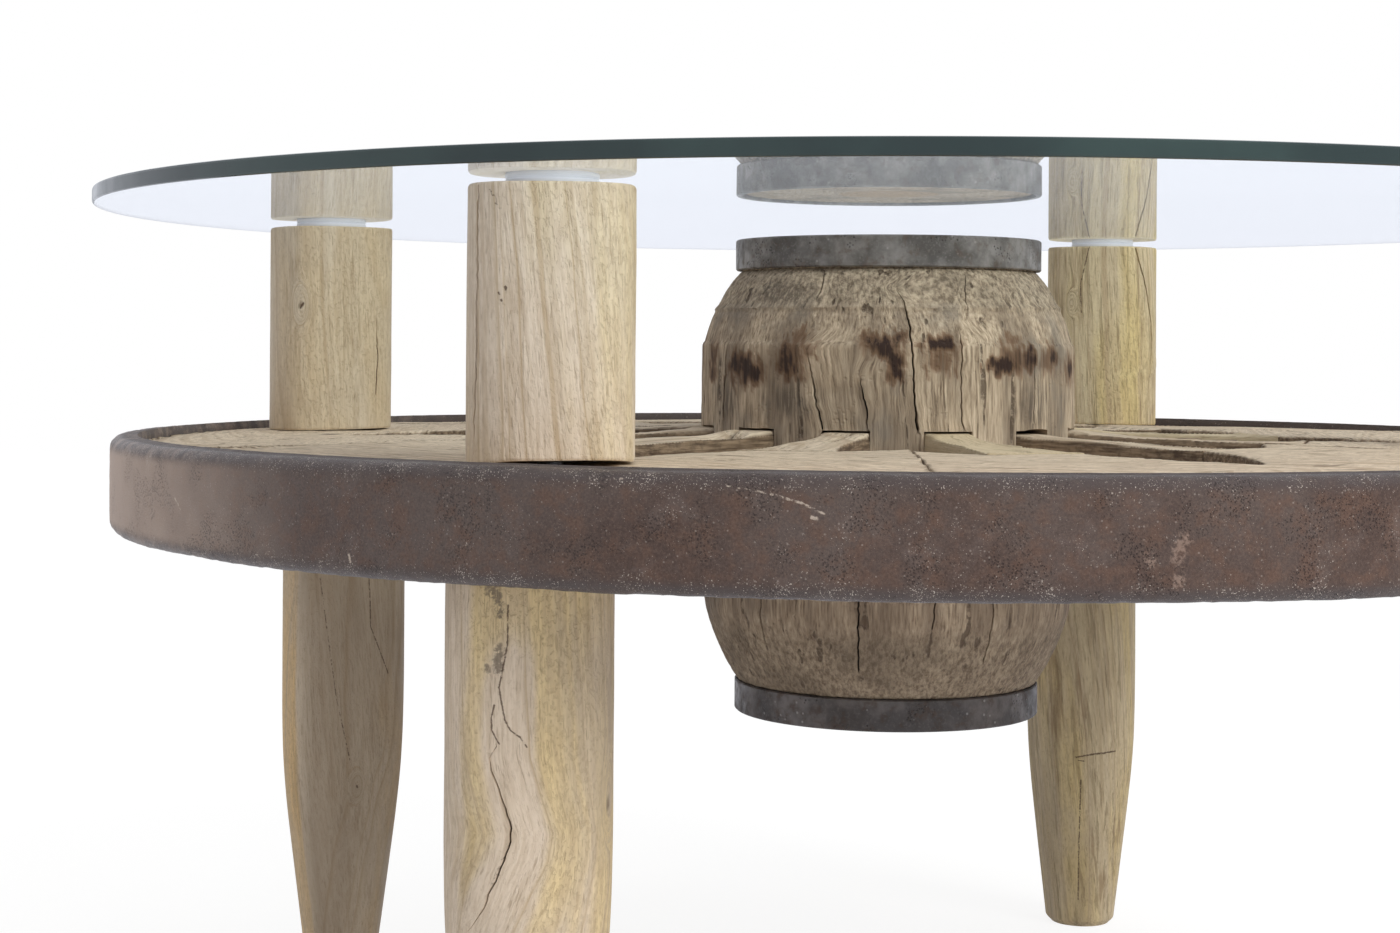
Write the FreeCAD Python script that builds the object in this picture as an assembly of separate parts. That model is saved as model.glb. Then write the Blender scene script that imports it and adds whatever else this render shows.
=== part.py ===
import FreeCAD, Part
import math
import os

# Wagon wheel table, in millimetres. The origin is on the floor, under the middle of the hub.
# +Z is up, and the front of the table faces -Y.

Vec = FreeCAD.Vector
UP = Vec(0, 0, 1)
CENTRE = Vec(0, 0, 0)
FULL_TURN = 360.0
RIGHT_ANGLE = 90.0

# Glass top and its pads
glass_diameter = 900.0
glass_thickness = 8.0
glass_arris = 1.2
pad_diameter = 43.0
pad_thickness = 3.0

# Iron tyre
tyre_diameter = 880.0
tyre_thickness = 16.0
tyre_width = 52.5
tyre_edge_radius = 7.0
tyre_below_wood = 4.0
tyre_edge_shares = (0.0, 0.5, 1.0)

# Wooden rim and the crown of the wheel
rim_thickness = 44.0
crown_rise = 7.0
crown_top_radius = 108.0
felloe_count = 6
first_joint_angle = -87.0
joint_gap = 0.4
horn_depth = 204.0
horn_bow = 3.0
window_tip_depth = 107.0
window_side_bow = 8.0

# Spokes
spoke_foot_width = 27.0
spoke_foot_inner_radius = 62.5
spoke_shoulder_width = 52.0
spoke_shoulder_depth = 189.0
spoke_waist_bow = 4.0
spoke_underside_chamfer = 6.0
tongue_width = 22.0
tongue_thickness = 20.0
tongue_end_gap = 1.5

# Hub
hub_height = 268.0
hub_below_rim = 109.5
hub_belly_radius = 108.0
hub_upper_neck_radius = 84.8
hub_lower_neck_radius = 83.9
hub_shoulder_bend = 74.0
hub_shoulder_shares = (0.0, 0.45, 1.0)
hub_belt_step = 1.8
belt_above_rim = 58.0
belt_below_rim = 56.0
mortice_headroom = 2.0
mortice_end_gap = 1.0
axle_hole_diameter = 58.0

# Hub bands
band_width = 17.5
band_thickness = 3.6
band_past_wood = 1.5

# Legs
lower_leg_length = 306.0
upper_post_rise = 126.0
leg_half_width = 36.5
leg_side_radius = 66.0
leg_corner_radius = 24.0
leg_in_from_rim = 72.0
leg_taper_height = 170.0
leg_taper_radius = 42.0
foot_radius = 22.0
foot_edge_chamfer = 4.0
leg_corner_shares = (0.0, 0.33, 0.67, 1.0)
taper_flats = 20

# Studs, and loose tenons across the joints of the rim
stud_diameter = 12.0
stud_above_wheel = 60.0
stud_below_wheel = 90.0
tenon_length = 64.0
tenon_width = 28.0
tenon_thickness = 12.0
tenon_in_from_rim = 94.0

# Fits
fit_clearance = 0.15
overrun = 20.0

# Each leg: its name, the angle of its place on the leg circle, its turn about its own axis, how far
# the lower leg stands off the upper post as shares of the leg's half width, and, as shares of the
# sizes above, its girth, the height of its taper and the radius of its foot
legs = (
    ("front_left", -115.5, 8.0, (-0.24, 0.0), 1.055, 1.0, 1.0),
    ("front_right", -11.0, 20.0, (0.10, 0.05), 1.03, 1.0, 1.0),
    ("rear_right", 64.5, -14.0, (-0.36, 0.0), 1.03, 0.92, 1.06),
    ("rear_left", 169.0, 30.0, (0.26, 0.0), 1.0, 1.05, 0.86),
)

# Heights and radii that follow from the sizes above
spoke_count = 2 * felloe_count
felloe_angle = FULL_TURN / felloe_count
spoke_angle = FULL_TURN / spoke_count
tyre_radius = tyre_diameter / 2
rim_radius = tyre_radius - tyre_thickness
horn_radius = rim_radius - horn_depth
window_apex_radius = rim_radius - window_tip_depth
spoke_shoulder_radius = rim_radius - spoke_shoulder_depth
leg_circle_radius = rim_radius - leg_in_from_rim
tenon_circle_radius = rim_radius - tenon_in_from_rim
rim_underside = lower_leg_length
rim_top = rim_underside + rim_thickness
crown_top = rim_top + crown_rise
tyre_bottom = rim_underside - tyre_below_wood
hub_bottom = rim_underside - hub_below_rim
hub_top = hub_bottom + hub_height
post_top = rim_top + upper_post_rise
glass_underside = post_top + pad_thickness
crown_slope = crown_rise / (rim_radius - crown_top_radius)
band_seat_height = band_width - band_past_wood
mortice_top = crown_top + mortice_headroom


def save(shape, node):
    shape.exportStep("parts/" + node + ".step")


def turned(shape, angle):
    copy = shape.copy()
    copy.rotate(CENTRE, UP, angle)
    return copy


def on_circle(radius, angle, height=0.0):
    around = math.radians(angle)
    return Vec(radius * math.cos(around), radius * math.sin(around), height)


def bowed(start, end, bow):
    """An arc from start to end, whose middle stands off the chord by bow, to the left of its run."""
    chord = end - start
    side = Vec(-chord.y, chord.x, 0)
    side.normalize()
    return Part.Arc(start, (start + end) / 2 + side * bow, end).toShape()


def revolved(points):
    """A solid of revolution about the wheel's axis, from a closed outline in the XZ plane."""
    outline = Part.makePolygon(points + [points[0]])
    return Part.Face(outline).revolve(CENTRE, UP, FULL_TURN)


def rounded_corner(middle, radius, first, last):
    """Points round a worn corner in the XZ plane, from one angle to another."""
    points = []
    for share in tyre_edge_shares:
        around = math.radians(first + share * (last - first))
        points.append(middle + Vec(math.cos(around), 0, math.sin(around)) * radius)
    return points


def only_solid(shape):
    return shape.Solids[0]


def crown_block():
    """What a felloe or a spoke on +X is sawn from: flat below, and planed to rise to the hub."""
    reach = rim_radius + overrun
    fall = crown_top - crown_slope * (reach - crown_top_radius)
    side = Part.Face(Part.makePolygon([
        Vec(0, -reach, rim_underside),
        Vec(reach, -reach, rim_underside),
        Vec(reach, -reach, fall),
        Vec(crown_top_radius, -reach, crown_top),
        Vec(0, -reach, crown_top),
        Vec(0, -reach, rim_underside),
    ]))
    return side.extrude(Vec(0, 2 * reach, 0))


def leg_place(angle):
    return on_circle(leg_circle_radius, angle)


def stud_space(clearance):
    """The studs, or the holes for them where a clearance is given, as a list in the legs' order."""
    spaces = []
    for leg in legs:
        foot = leg_place(leg[1])
        foot.z = rim_underside - stud_below_wheel - clearance
        length = stud_below_wheel + rim_thickness + stud_above_wheel + 2 * clearance
        spaces.append(Part.makeCylinder(stud_diameter / 2 + clearance, length, foot))
    return spaces


# Glass top: a round sheet with ground edges
def make_glass():
    sheet = Part.makeCylinder(glass_diameter / 2, glass_thickness, Vec(0, 0, glass_underside))
    rims = [edge for edge in sheet.Edges if isinstance(edge.Curve, Part.Circle)]
    return sheet.makeChamfer(glass_arris, rims)


# Iron tyre: a hoop whose outer edges are worn round
def make_tyre():
    top = tyre_bottom + tyre_width
    worn = tyre_radius - tyre_edge_radius
    outline = [Vec(rim_radius, 0, top), Vec(rim_radius, 0, tyre_bottom)]
    outline += rounded_corner(Vec(worn, 0, tyre_bottom + tyre_edge_radius), tyre_edge_radius,
                              -RIGHT_ANGLE, 0)
    outline += rounded_corner(Vec(worn, 0, top - tyre_edge_radius), tyre_edge_radius, 0, RIGHT_ANGLE)
    return revolved(outline)


# Felloe: a block of the rim with half a window at each end and a pointed window in the middle,
# seen here with its middle on +X
def felloe_outline():
    half_shoulder = spoke_shoulder_width / 2
    outer = rim_radius - fit_clearance
    half = felloe_angle / 2
    seats = []
    for side in (-1, 1):
        spoke_at = side * spoke_angle / 2
        ends = []
        for edge in (-half_shoulder, half_shoulder):
            point = Vec(spoke_shoulder_radius, edge, 0)
            ends.append(FreeCAD.Rotation(UP, spoke_at).multVec(point))
        seats.append(ends)
    horns = [on_circle(horn_radius, -half), on_circle(horn_radius, half)]
    corners = [on_circle(outer, -half), on_circle(outer, half)]
    apex = on_circle(window_apex_radius, 0)
    return Part.Wire([
        Part.makeLine(corners[0], horns[0]),
        bowed(horns[0], seats[0][0], -horn_bow),
        Part.makeLine(seats[0][0], seats[0][1]),
        bowed(seats[0][1], apex, -window_side_bow),
        bowed(apex, seats[1][0], -window_side_bow),
        Part.makeLine(seats[1][0], seats[1][1]),
        bowed(seats[1][1], horns[1], -horn_bow),
        Part.makeLine(horns[1], corners[1]),
        Part.Arc(corners[1], on_circle(outer, 0), corners[0]).toShape(),
    ])


def tongue_space(clearance):
    """The tongue of the spoke on +X, or the mortice for it where a clearance is given."""
    length = rim_radius - tongue_end_gap - spoke_shoulder_radius
    middle = rim_underside + rim_thickness / 2
    corner = Vec(spoke_shoulder_radius, -tongue_width / 2, middle - tongue_thickness / 2)
    space = Part.makeBox(length, tongue_width, tongue_thickness, corner)
    if clearance:
        grow = Vec(0, clearance, clearance)
        corner = corner - grow - Vec(overrun, 0, 0)
        space = Part.makeBox(length + overrun + clearance, tongue_width + 2 * clearance,
                             tongue_thickness + 2 * clearance, corner)
    return space


def tenon_space(clearance):
    """A loose tenon across the joint on +X, or its mortice where a clearance is given."""
    size = Vec(tenon_width, tenon_length, tenon_thickness) + Vec(1, 1, 1) * 2 * clearance
    middle = Vec(tenon_circle_radius, 0, rim_underside + rim_thickness / 2)
    return Part.makeBox(size.x, size.y, size.z, middle - size / 2)


def make_felloe():
    face = Part.Face(felloe_outline())
    block = face.extrude(UP * (crown_top + overrun)).common(crown_block())
    gap = Part.makeBox(rim_radius + overrun, joint_gap, crown_top + overrun, Vec(0, -joint_gap / 2, 0))
    half = felloe_angle / 2
    cuts = [turned(gap, half), turned(gap, -half)]
    cuts += [turned(tongue_space(fit_clearance), side * spoke_angle / 2) for side in (-1, 1)]
    cuts += [turned(tenon_space(fit_clearance), half), turned(tenon_space(fit_clearance), -half)]
    return block.cut(cuts)


# Spoke on +X: a foot for the hub, a blade that widens to its shoulder, and a tongue for the felloe
def make_spoke():
    foot = spoke_foot_width / 2
    shoulder = spoke_shoulder_width / 2
    points = [
        Vec(spoke_foot_inner_radius, -foot, 0),
        Vec(hub_belly_radius, -foot, 0),
        Vec(spoke_shoulder_radius, -shoulder, 0),
        Vec(spoke_shoulder_radius, shoulder, 0),
        Vec(hub_belly_radius, foot, 0),
        Vec(spoke_foot_inner_radius, foot, 0),
    ]
    outline = Part.Wire([
        Part.makeLine(points[0], points[1]),
        bowed(points[1], points[2], spoke_waist_bow),
        Part.makeLine(points[2], points[3]),
        bowed(points[3], points[4], spoke_waist_bow),
        Part.makeLine(points[4], points[5]),
        Part.makeLine(points[5], points[0]),
    ])
    blade = Part.Face(outline).extrude(UP * (crown_top + overrun)).common(crown_block())
    blade = only_solid(blade)
    lower_edges = []
    for edge in blade.Edges:
        low = edge.BoundBox.ZMax < rim_underside + fit_clearance
        if low and isinstance(edge.Curve, Part.Circle):
            lower_edges.append(edge)
    blade = blade.makeChamfer(spoke_underside_chamfer, lower_edges)
    return blade.fuse(tongue_space(0)).removeSplitter()


# Hub: a turned barrel with a neck for each band, an axle hole, and a mortice for each spoke
def shoulder_points(neck_radius, neck_height, belt_end):
    """Points on the round shoulder, from a neck to where the belt's step stands on it."""
    belly = hub_belly_radius - hub_belt_step
    rise = belly - neck_radius
    run = math.sqrt(hub_shoulder_bend ** 2 - (hub_shoulder_bend - rise) ** 2)
    upright = neck_height + math.copysign(run, belt_end - neck_height)
    points = []
    for share in hub_shoulder_shares:
        height = neck_height + share * (belt_end - neck_height)
        radius = belly - hub_shoulder_bend + math.sqrt(hub_shoulder_bend ** 2 - (height - upright) ** 2)
        points.append(Vec(radius, 0, height))
    return points


def make_hub():
    hole = axle_hole_diameter / 2
    lower_seat = hub_bottom + band_seat_height
    upper_seat = hub_top - band_seat_height
    lower_rim = hub_lower_neck_radius + band_thickness
    belt_bottom = rim_underside - belt_below_rim
    belt_top = rim_top + belt_above_rim
    outline = [Vec(hole, 0, hub_bottom), Vec(hub_lower_neck_radius, 0, hub_bottom),
               Vec(hub_lower_neck_radius, 0, lower_seat)]
    outline += shoulder_points(lower_rim, lower_seat, belt_bottom)
    outline += [Vec(hub_belly_radius, 0, belt_bottom + hub_belt_step),
                Vec(hub_belly_radius, 0, belt_top - hub_belt_step)]
    outline += reversed(shoulder_points(hub_upper_neck_radius, upper_seat, belt_top))
    outline += [Vec(hub_upper_neck_radius, 0, hub_top), Vec(hole, 0, hub_top)]
    barrel = revolved(outline)
    start = spoke_foot_inner_radius - mortice_end_gap
    width = spoke_foot_width + 2 * fit_clearance
    low = rim_underside - fit_clearance
    mortice = Part.makeBox(hub_belly_radius + overrun - start, width, mortice_top - low,
                           Vec(start, -width / 2, low))
    mortices = []
    for number in range(spoke_count):
        mortices.append(turned(mortice, spoke_place(number)))
    return barrel.cut(mortices)


def spoke_place(number):
    return first_joint_angle - spoke_angle / 2 + number * spoke_angle


def make_plug():
    return Part.makeCylinder(axle_hole_diameter / 2 - fit_clearance, hub_height, Vec(0, 0, hub_bottom))


def make_band(neck_radius, bottom):
    inner = neck_radius + fit_clearance
    outer = neck_radius + band_thickness
    return revolved([
        Vec(inner, 0, bottom),
        Vec(outer, 0, bottom),
        Vec(outer, 0, bottom + band_width),
        Vec(inner, 0, bottom + band_width),
    ])


# Section of a leg: a square with swollen sides and well rounded corners, as a run of flats
def leg_section(girth):
    middles_apart = leg_side_radius - leg_corner_radius
    spread = math.radians(RIGHT_ANGLE / 2)
    spread -= math.asin((leg_side_radius - leg_half_width) / (math.sqrt(2) * middles_apart))
    corner_middle = middles_apart * math.sin(spread)
    points = []
    for quarter in range(4):
        turn = FreeCAD.Rotation(UP, quarter * RIGHT_ANGLE)
        points.append(turn.multVec(Vec(leg_half_width, 0, 0)))
        for share in leg_corner_shares:
            around = spread + share * (math.pi / 2 - 2 * spread)
            out = Vec(math.cos(around), math.sin(around), 0) * leg_corner_radius
            points.append(turn.multVec(Vec(corner_middle, corner_middle, 0) + out))
    points = [point * girth for point in points]
    return Part.Face(Part.makePolygon(points + [points[0]]))


def leg_timber(girth, length, bottom):
    timber = leg_section(girth).extrude(UP * length)
    timber.translate(UP * bottom)
    return timber


# Upper post: cut to the slope of the felloe below, and square to the pad above
def make_upper_post(girth, turn, place, felloe_place, stud_hole):
    post = turned(leg_timber(girth, post_top - rim_underside, rim_underside), turn)
    post.translate(place)
    return only_solid(post.cut([turned(crown_block(), felloe_place), stud_hole]))


def planed_form(stages):
    """A round form planed in flats. Its stages are points in the XZ plane, from the lowest up."""
    flat_angle = FULL_TURN / taper_flats
    spread = math.cos(math.radians(flat_angle / 2))
    rings = []
    for stage in stages:
        corners = [on_circle(stage.x / spread, (number + 1 / 2) * flat_angle, stage.z)
                   for number in range(taper_flats)]
        rings.append(corners + [corners[0]])
    faces = [Part.Face(Part.makePolygon(rings[0])), Part.Face(Part.makePolygon(rings[-1]))]
    for lower, upper in zip(rings, rings[1:]):
        for number in range(taper_flats):
            after = number + 1
            flat = [lower[number], lower[after], upper[after], upper[number], lower[number]]
            faces.append(Part.Face(Part.makePolygon(flat)))
    return Part.Solid(Part.Shell(faces))


# Lower leg: straight under the wheel, then planed to a round taper and foot
def make_lower_leg(girth, taper_height, foot, turn, place, stud_hole):
    taper = (leg_taper_radius - foot) / taper_height
    foot_edge = foot + taper * foot_edge_chamfer
    form = planed_form([
        Vec(foot_edge - foot_edge_chamfer, 0, 0),
        Vec(foot_edge, 0, foot_edge_chamfer),
        Vec(leg_taper_radius, 0, taper_height),
        Vec(leg_taper_radius, 0, lower_leg_length),
    ])
    leg = turned(leg_timber(girth, lower_leg_length, 0).common(form), turn)
    leg.translate(place)
    return only_solid(leg.cut(stud_hole))


def make_pad(place):
    return Part.makeCylinder(pad_diameter / 2, pad_thickness, place + Vec(0, 0, post_top))


def felloe_under(angle):
    """The angle of the middle of the felloe that a leg stands on."""
    number = math.floor((angle - first_joint_angle) / felloe_angle)
    return first_joint_angle + (number + 1 / 2) * felloe_angle


def make_all():
    os.makedirs("parts", exist_ok=True)
    studs = stud_space(0)
    stud_holes = stud_space(fit_clearance)

    save(make_glass(), "glass_top")
    save(make_tyre(), "iron_tyre")
    save(make_hub(), "hub")
    save(make_plug(), "axle_hole_plug")
    save(make_band(hub_upper_neck_radius, hub_top + band_past_wood - band_width), "hub_band_upper")
    save(make_band(hub_lower_neck_radius, hub_bottom - band_past_wood), "hub_band_lower")

    felloe = make_felloe()
    for number in range(felloe_count):
        place = first_joint_angle + felloe_angle / 2 + number * felloe_angle
        block = turned(felloe, place).cut(stud_holes)
        save(only_solid(block), "felloe_" + str(number + 1))

    spoke = make_spoke()
    for number in range(spoke_count):
        bar = turned(spoke, spoke_place(number)).cut(stud_holes)
        save(only_solid(bar), "spoke_" + str(number + 1))

    tenons = []
    for number in range(felloe_count):
        tenons.append(turned(tenon_space(0), first_joint_angle + number * felloe_angle))
    save(Part.makeCompound(tenons), "felloe_tenons")

    pads = [make_pad(leg_place(leg[1])) for leg in legs]
    save(Part.makeCompound(pads), "glass_pads")
    save(Part.makeCompound(studs), "leg_studs")
    for leg, stud_hole in zip(legs, stud_holes):
        name, angle, turn, shift, girth, taper_share, foot_share = leg
        place = leg_place(angle)
        post = make_upper_post(girth, turn, place, felloe_under(angle), stud_hole)
        save(post, "upper_post_" + name)
        lower_place = place + Vec(shift[0], shift[1], 0) * leg_half_width
        lower_leg = make_lower_leg(girth, leg_taper_height * taper_share, foot_radius * foot_share,
                                   turn, lower_place, stud_hole)
        save(lower_leg, "lower_leg_" + name)


make_all()
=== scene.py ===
import math

import bmesh
import bpy
import numpy as np
from mathutils import Matrix, Vector, noise


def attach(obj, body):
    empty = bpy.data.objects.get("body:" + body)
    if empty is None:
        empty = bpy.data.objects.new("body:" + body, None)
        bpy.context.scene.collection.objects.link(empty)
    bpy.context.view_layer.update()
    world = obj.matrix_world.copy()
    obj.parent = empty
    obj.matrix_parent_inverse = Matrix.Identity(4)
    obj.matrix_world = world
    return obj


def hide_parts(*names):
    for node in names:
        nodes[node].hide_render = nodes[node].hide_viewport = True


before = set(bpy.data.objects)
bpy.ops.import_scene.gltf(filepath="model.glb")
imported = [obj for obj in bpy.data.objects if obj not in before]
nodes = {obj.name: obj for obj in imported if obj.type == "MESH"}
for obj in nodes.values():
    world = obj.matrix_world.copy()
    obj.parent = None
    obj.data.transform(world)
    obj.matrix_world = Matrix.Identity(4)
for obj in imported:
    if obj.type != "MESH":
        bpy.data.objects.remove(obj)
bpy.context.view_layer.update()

# The room: the table stands on a plain pale floor in a white studio, under broad soft lamps.
# The camera stands low in front, level with the wheel, as in the photograph.
camera_place = Vector((0.0, -1.3748, 0.4033))
camera_yaw, camera_pitch, camera_roll = -0.095, 0.0048, 0.0071
camera_lens_px, photo_width_px = 2354.48, 1400
lens_axis_px = (37.1, 129.9)

ahead = Vector((math.sin(camera_yaw) * math.cos(camera_pitch),
        math.cos(camera_yaw) * math.cos(camera_pitch), math.sin(camera_pitch)))
level_right = Vector((math.cos(camera_yaw), -math.sin(camera_yaw), 0))
level_up = level_right.cross(ahead)
right = level_right * math.cos(camera_roll) + level_up * math.sin(camera_roll)
up = level_up * math.cos(camera_roll) - level_right * math.sin(camera_roll)
camera_data = bpy.data.cameras.new("camera")
camera_data.sensor_width = 36.0
camera_data.lens = camera_lens_px / photo_width_px * camera_data.sensor_width
camera_data.shift_x = lens_axis_px[0] / photo_width_px
camera_data.shift_y = -lens_axis_px[1] / photo_width_px
camera = bpy.data.objects.new("camera", camera_data)
bpy.context.scene.collection.objects.link(camera)
camera.matrix_world = Matrix.Translation(camera_place) @ Matrix((right, up, -ahead)).transposed().to_4x4()
bpy.context.scene.camera = camera
bpy.context.scene.view_settings.view_transform = "Standard"


def deselect():
    bpy.ops.object.select_all(action="DESELECT")


def work_in(tree):
    """From here on, each new node goes into this tree."""
    global bench
    bench = tree


def shader(kind, sockets=None, **settings):
    """Adds one shader node; a socket takes a value, or the output that feeds it."""
    made = bench.nodes.new("ShaderNode" + kind)
    for setting, value in settings.items():
        setattr(made, setting, value)
    for socket, value in (sockets or {}).items():
        if isinstance(value, bpy.types.NodeSocket):
            bench.links.new(value, made.inputs[socket])
        else:
            made.inputs[socket].default_value = value
    return made


def reckon(operation, first, second=0.0, clamp=False):
    """One sum on numbers that change over the surface."""
    return shader("Math", {0: first, 1: second, 2: 0.0}, operation=operation, use_clamp=clamp).outputs[0]


def plus(first, second):
    return reckon("ADD", first, second)


def minus(first, second):
    return reckon("SUBTRACT", first, second)


def times(first, second):
    return reckon("MULTIPLY", first, second)


def vectors(operation, first, second, output=0):
    """One sum on places; a scaling takes its number in the socket of that name."""
    key = "Scale" if operation == "SCALE" else 1
    return shader("VectorMath", {0: first, key: second}, operation=operation).outputs[output]


def blend(share, first, second, kind="MIX"):
    """One colour over another, by a share from 0 to 1."""
    return shader("Mix", {0: share, 6: first, 7: second}, data_type="RGBA", blend_type=kind,
        clamp_result=False).outputs[2]


def own_place():
    return shader("TexCoord").outputs["Object"]


def rays_that_see_the_room():
    path = shader("LightPath")
    seen = reckon("MAXIMUM", path.outputs["Is Camera Ray"], path.outputs["Is Glossy Ray"])
    return reckon("MAXIMUM", seen, path.outputs["Is Transmission Ray"])


def room_white():
    """White to the camera, and the cooler white of window light where glass or iron mirrors it."""
    return blend(shader("LightPath").outputs["Is Camera Ray"], (0.92, 0.945, 1.03, 1), (1, 1, 1, 1))


room = bpy.data.worlds.new("white studio")
bpy.context.scene.world = room
room.use_nodes = True
room.node_tree.nodes.clear()
work_in(room.node_tree)
plain_light = shader("Background", {"Color": (1.0, 1.0, 1.0, 1), "Strength": 0.4})
white_wall = shader("Background", {"Color": room_white(), "Strength": 1.0})
room_seen = shader("MixShader",
    {0: rays_that_see_the_room(), 1: plain_light.outputs[0], 2: white_wall.outputs[0]})
shader("OutputWorld", {"Surface": room_seen.outputs[0]})

lamps = (("key lamp", (2.0, -1.6, 1.7), 1.6, 62.0), ("fill lamp", (-2.2, -1.6, 1.0), 2.0, 6.0),
    ("top lamp", (0.2, 0.4, 2.6), 2.2, 14.0))
for lamp_name, lamp_place, lamp_size, lamp_power in lamps:
    lamp_data = bpy.data.lights.new(lamp_name, "AREA")
    lamp_data.size = lamp_size
    lamp_data.energy = lamp_power
    lamp = bpy.data.objects.new(lamp_name, lamp_data)
    bpy.context.scene.collection.objects.link(lamp)
    lamp.location = lamp_place
    lamp.rotation_euler = (Vector((0, 0, 0.3)) - Vector(lamp_place)).to_track_quat("-Z", "Y").to_euler()
    lamp.visible_camera = lamp.visible_glossy = lamp.visible_transmission = False

deselect()
bpy.ops.mesh.primitive_plane_add(size=14, location=(0, 0, 0))
floor = bpy.context.object
floor.name = "floor"


def new_finish(name):
    """A new material with no nodes yet, to be made next."""
    finish = bpy.data.materials.new(name)
    finish.use_nodes = True
    finish.node_tree.nodes.clear()
    work_in(finish.node_tree)
    return finish


floor_paint = new_finish("pale floor")
mottle = shader("TexNoise", {"Vector": own_place(), "Scale": 3.0})
pale = shader("ValToRGB", {"Fac": mottle.outputs["Fac"]})
pale.color_ramp.elements[0].color = (0.86, 0.86, 0.86, 1)
pale.color_ramp.elements[1].color = (0.9, 0.9, 0.89, 1)
matt = shader("BsdfPrincipled", {"Base Color": pale.outputs["Color"], "Roughness": 0.9})
floor_place = own_place()
far = shader("VectorMath", {0: floor_place}, operation="LENGTH").outputs["Value"]
far = shader("MapRange", {"Value": far, "From Min": 0.5, "From Max": 1.9},
    interpolation_type="SMOOTHSTEP").outputs[0]
glow = plus(times(far, -0.15), 1.16)
bright = shader("Emission", {"Color": room_white(), "Strength": glow})
share_far = plus(times(far, 0.26), 0.74)
seen_share = times(rays_that_see_the_room(), share_far)
floor_seen = shader("MixShader", {0: seen_share, 1: matt.outputs[0], 2: bright.outputs[0]})
shader("OutputMaterial", {"Surface": floor_seen.outputs[0]})
floor.data.materials.append(floor_paint)


# The hub: a barrel of elm turned on a lathe, with a mortice for each spoke. A hundred years of
# weather have split it along the grain, and iron has stained the belt between the mortices.
hub_columns = 432
spoke_step = math.radians(30)
first_spoke = math.radians(-102)
mortice_half_width, mortice_low, mortice_high = 0.01365, 0.30585, 0.359
belt_radius = 0.108
hub_profile = np.array([(29.0, 196.5), (45.0, 196.5), (65.0, 196.5), (82.4, 196.7), (83.9, 197.8),
        (83.9, 212.3), (87.2, 213.0), (90.6, 218.0), (94.4, 224.5), (97.5, 231.0), (100.9, 239.0),
        (103.6, 247.0), (105.3, 254.0), (106.1, 260.0), (106.3, 266.6), (107.6, 268.4), (108.0, 272.0),
        (108.0, 290.0), (108.0, 305.8), (108.0, 330.0), (108.0, 359.0), (108.0, 380.0), (107.8, 403.0),
        (107.6, 406.0), (106.3, 407.4), (105.9, 409.0), (104.6, 413.5), (102.6, 420.0), (100.4, 425.5),
        (98.4, 430.0), (95.0, 436.5), (91.0, 442.5), (86.4, 447.6), (84.9, 448.4), (84.8, 448.8),
        (84.8, 462.8), (83.4, 464.3), (65.0, 464.5), (45.0, 464.5), (29.0, 464.5)]) / 1000


def spread_rows(points, step, fixed):
    """Evenly spaced points along a profile, with a row at each of the fixed heights on its way up."""
    runs = np.hypot(*np.diff(points, axis=0).T)
    along = np.concatenate([[0], np.cumsum(runs)])
    rows = np.linspace(0, along[-1], int(along[-1] / step))
    heights = np.interp(rows, along, points[:, 1])
    for height in fixed:
        nearest = np.argmin(np.abs(heights - height) + (np.interp(rows, along, points[:, 0]) < 0.1))
        rows[nearest] = np.interp(height, points[:, 1], along)
    return rows_of(np.interp(rows, along, points[:, 0]), np.interp(rows, along, points[:, 1]))


def turn_on_lathe(name, rows, columns, start):
    """Spins a closed profile of (radius, height) points about the wheel's axis, all of it by one spin."""
    outline = bpy.data.meshes.new(name)
    outline.from_pydata([(r * math.cos(start), r * math.sin(start), z) for r, z in rows],
        [(i, (i + 1) % len(rows)) for i in range(len(rows))], [])
    piece = bpy.data.objects.new(name, outline)
    bpy.context.scene.collection.objects.link(piece)
    take_up(piece)
    bpy.ops.object.mode_set(mode="EDIT")
    bpy.ops.mesh.select_all(action="SELECT")
    bpy.ops.mesh.spin(steps=columns, angle=2 * math.pi, center=(0, 0, 0), axis=(0, 0, 1))
    bpy.ops.mesh.select_all(action="SELECT")
    bpy.ops.mesh.remove_doubles(threshold=1e-6)
    bpy.ops.mesh.normals_make_consistent(inside=False)
    bpy.ops.object.mode_set(mode="OBJECT")
    return piece


def take_up(piece):
    """Selects one piece alone."""
    deselect()
    piece.select_set(True)
    bpy.context.view_layer.objects.active = piece


def smooth_up_to(piece, degrees):
    """Shades a piece smooth wherever its faces meet at less than this angle."""
    take_up(piece)
    bpy.ops.object.shade_smooth_by_angle(angle=math.radians(degrees))


def points_of(piece):
    points = np.zeros(len(piece.data.vertices) * 3)
    piece.data.vertices.foreach_get("co", points)
    return points.reshape(-1, 3)


def set_points(piece, points):
    piece.data.vertices.foreach_set("co", np.asarray(points, np.float32).ravel())
    piece.data.update()


def mark(piece, **named):
    """Keeps numbers, or places, for each point of a piece, under names that its material reads."""
    for name, values in named.items():
        values = np.asarray(values, np.float32)
        kind, key = ("FLOAT_VECTOR", "vector") if values.ndim == 2 else ("FLOAT", "value")
        piece.data.attributes.new(name, kind, "POINT").data.foreach_set(key, values.ravel())


def rows_of(*columns):
    """One row for each point, out of its numbers."""
    return np.stack(columns, axis=1)


def lumps(points, octaves, offset, scale=(1, 1, 1)):
    """Smooth unevenness from -1 to 1 or so at each point; scale is lumps to the metre along each axis."""
    scaled = points * np.array(scale) + offset
    return np.array([noise.fractal(p, 1.0, 2.0, octaves) for p in scaled.tolist()])


def ease(value, low, high):
    share = np.clip((value - low) / (high - low), 0, 1)
    return share * share * (3 - 2 * share)


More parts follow.
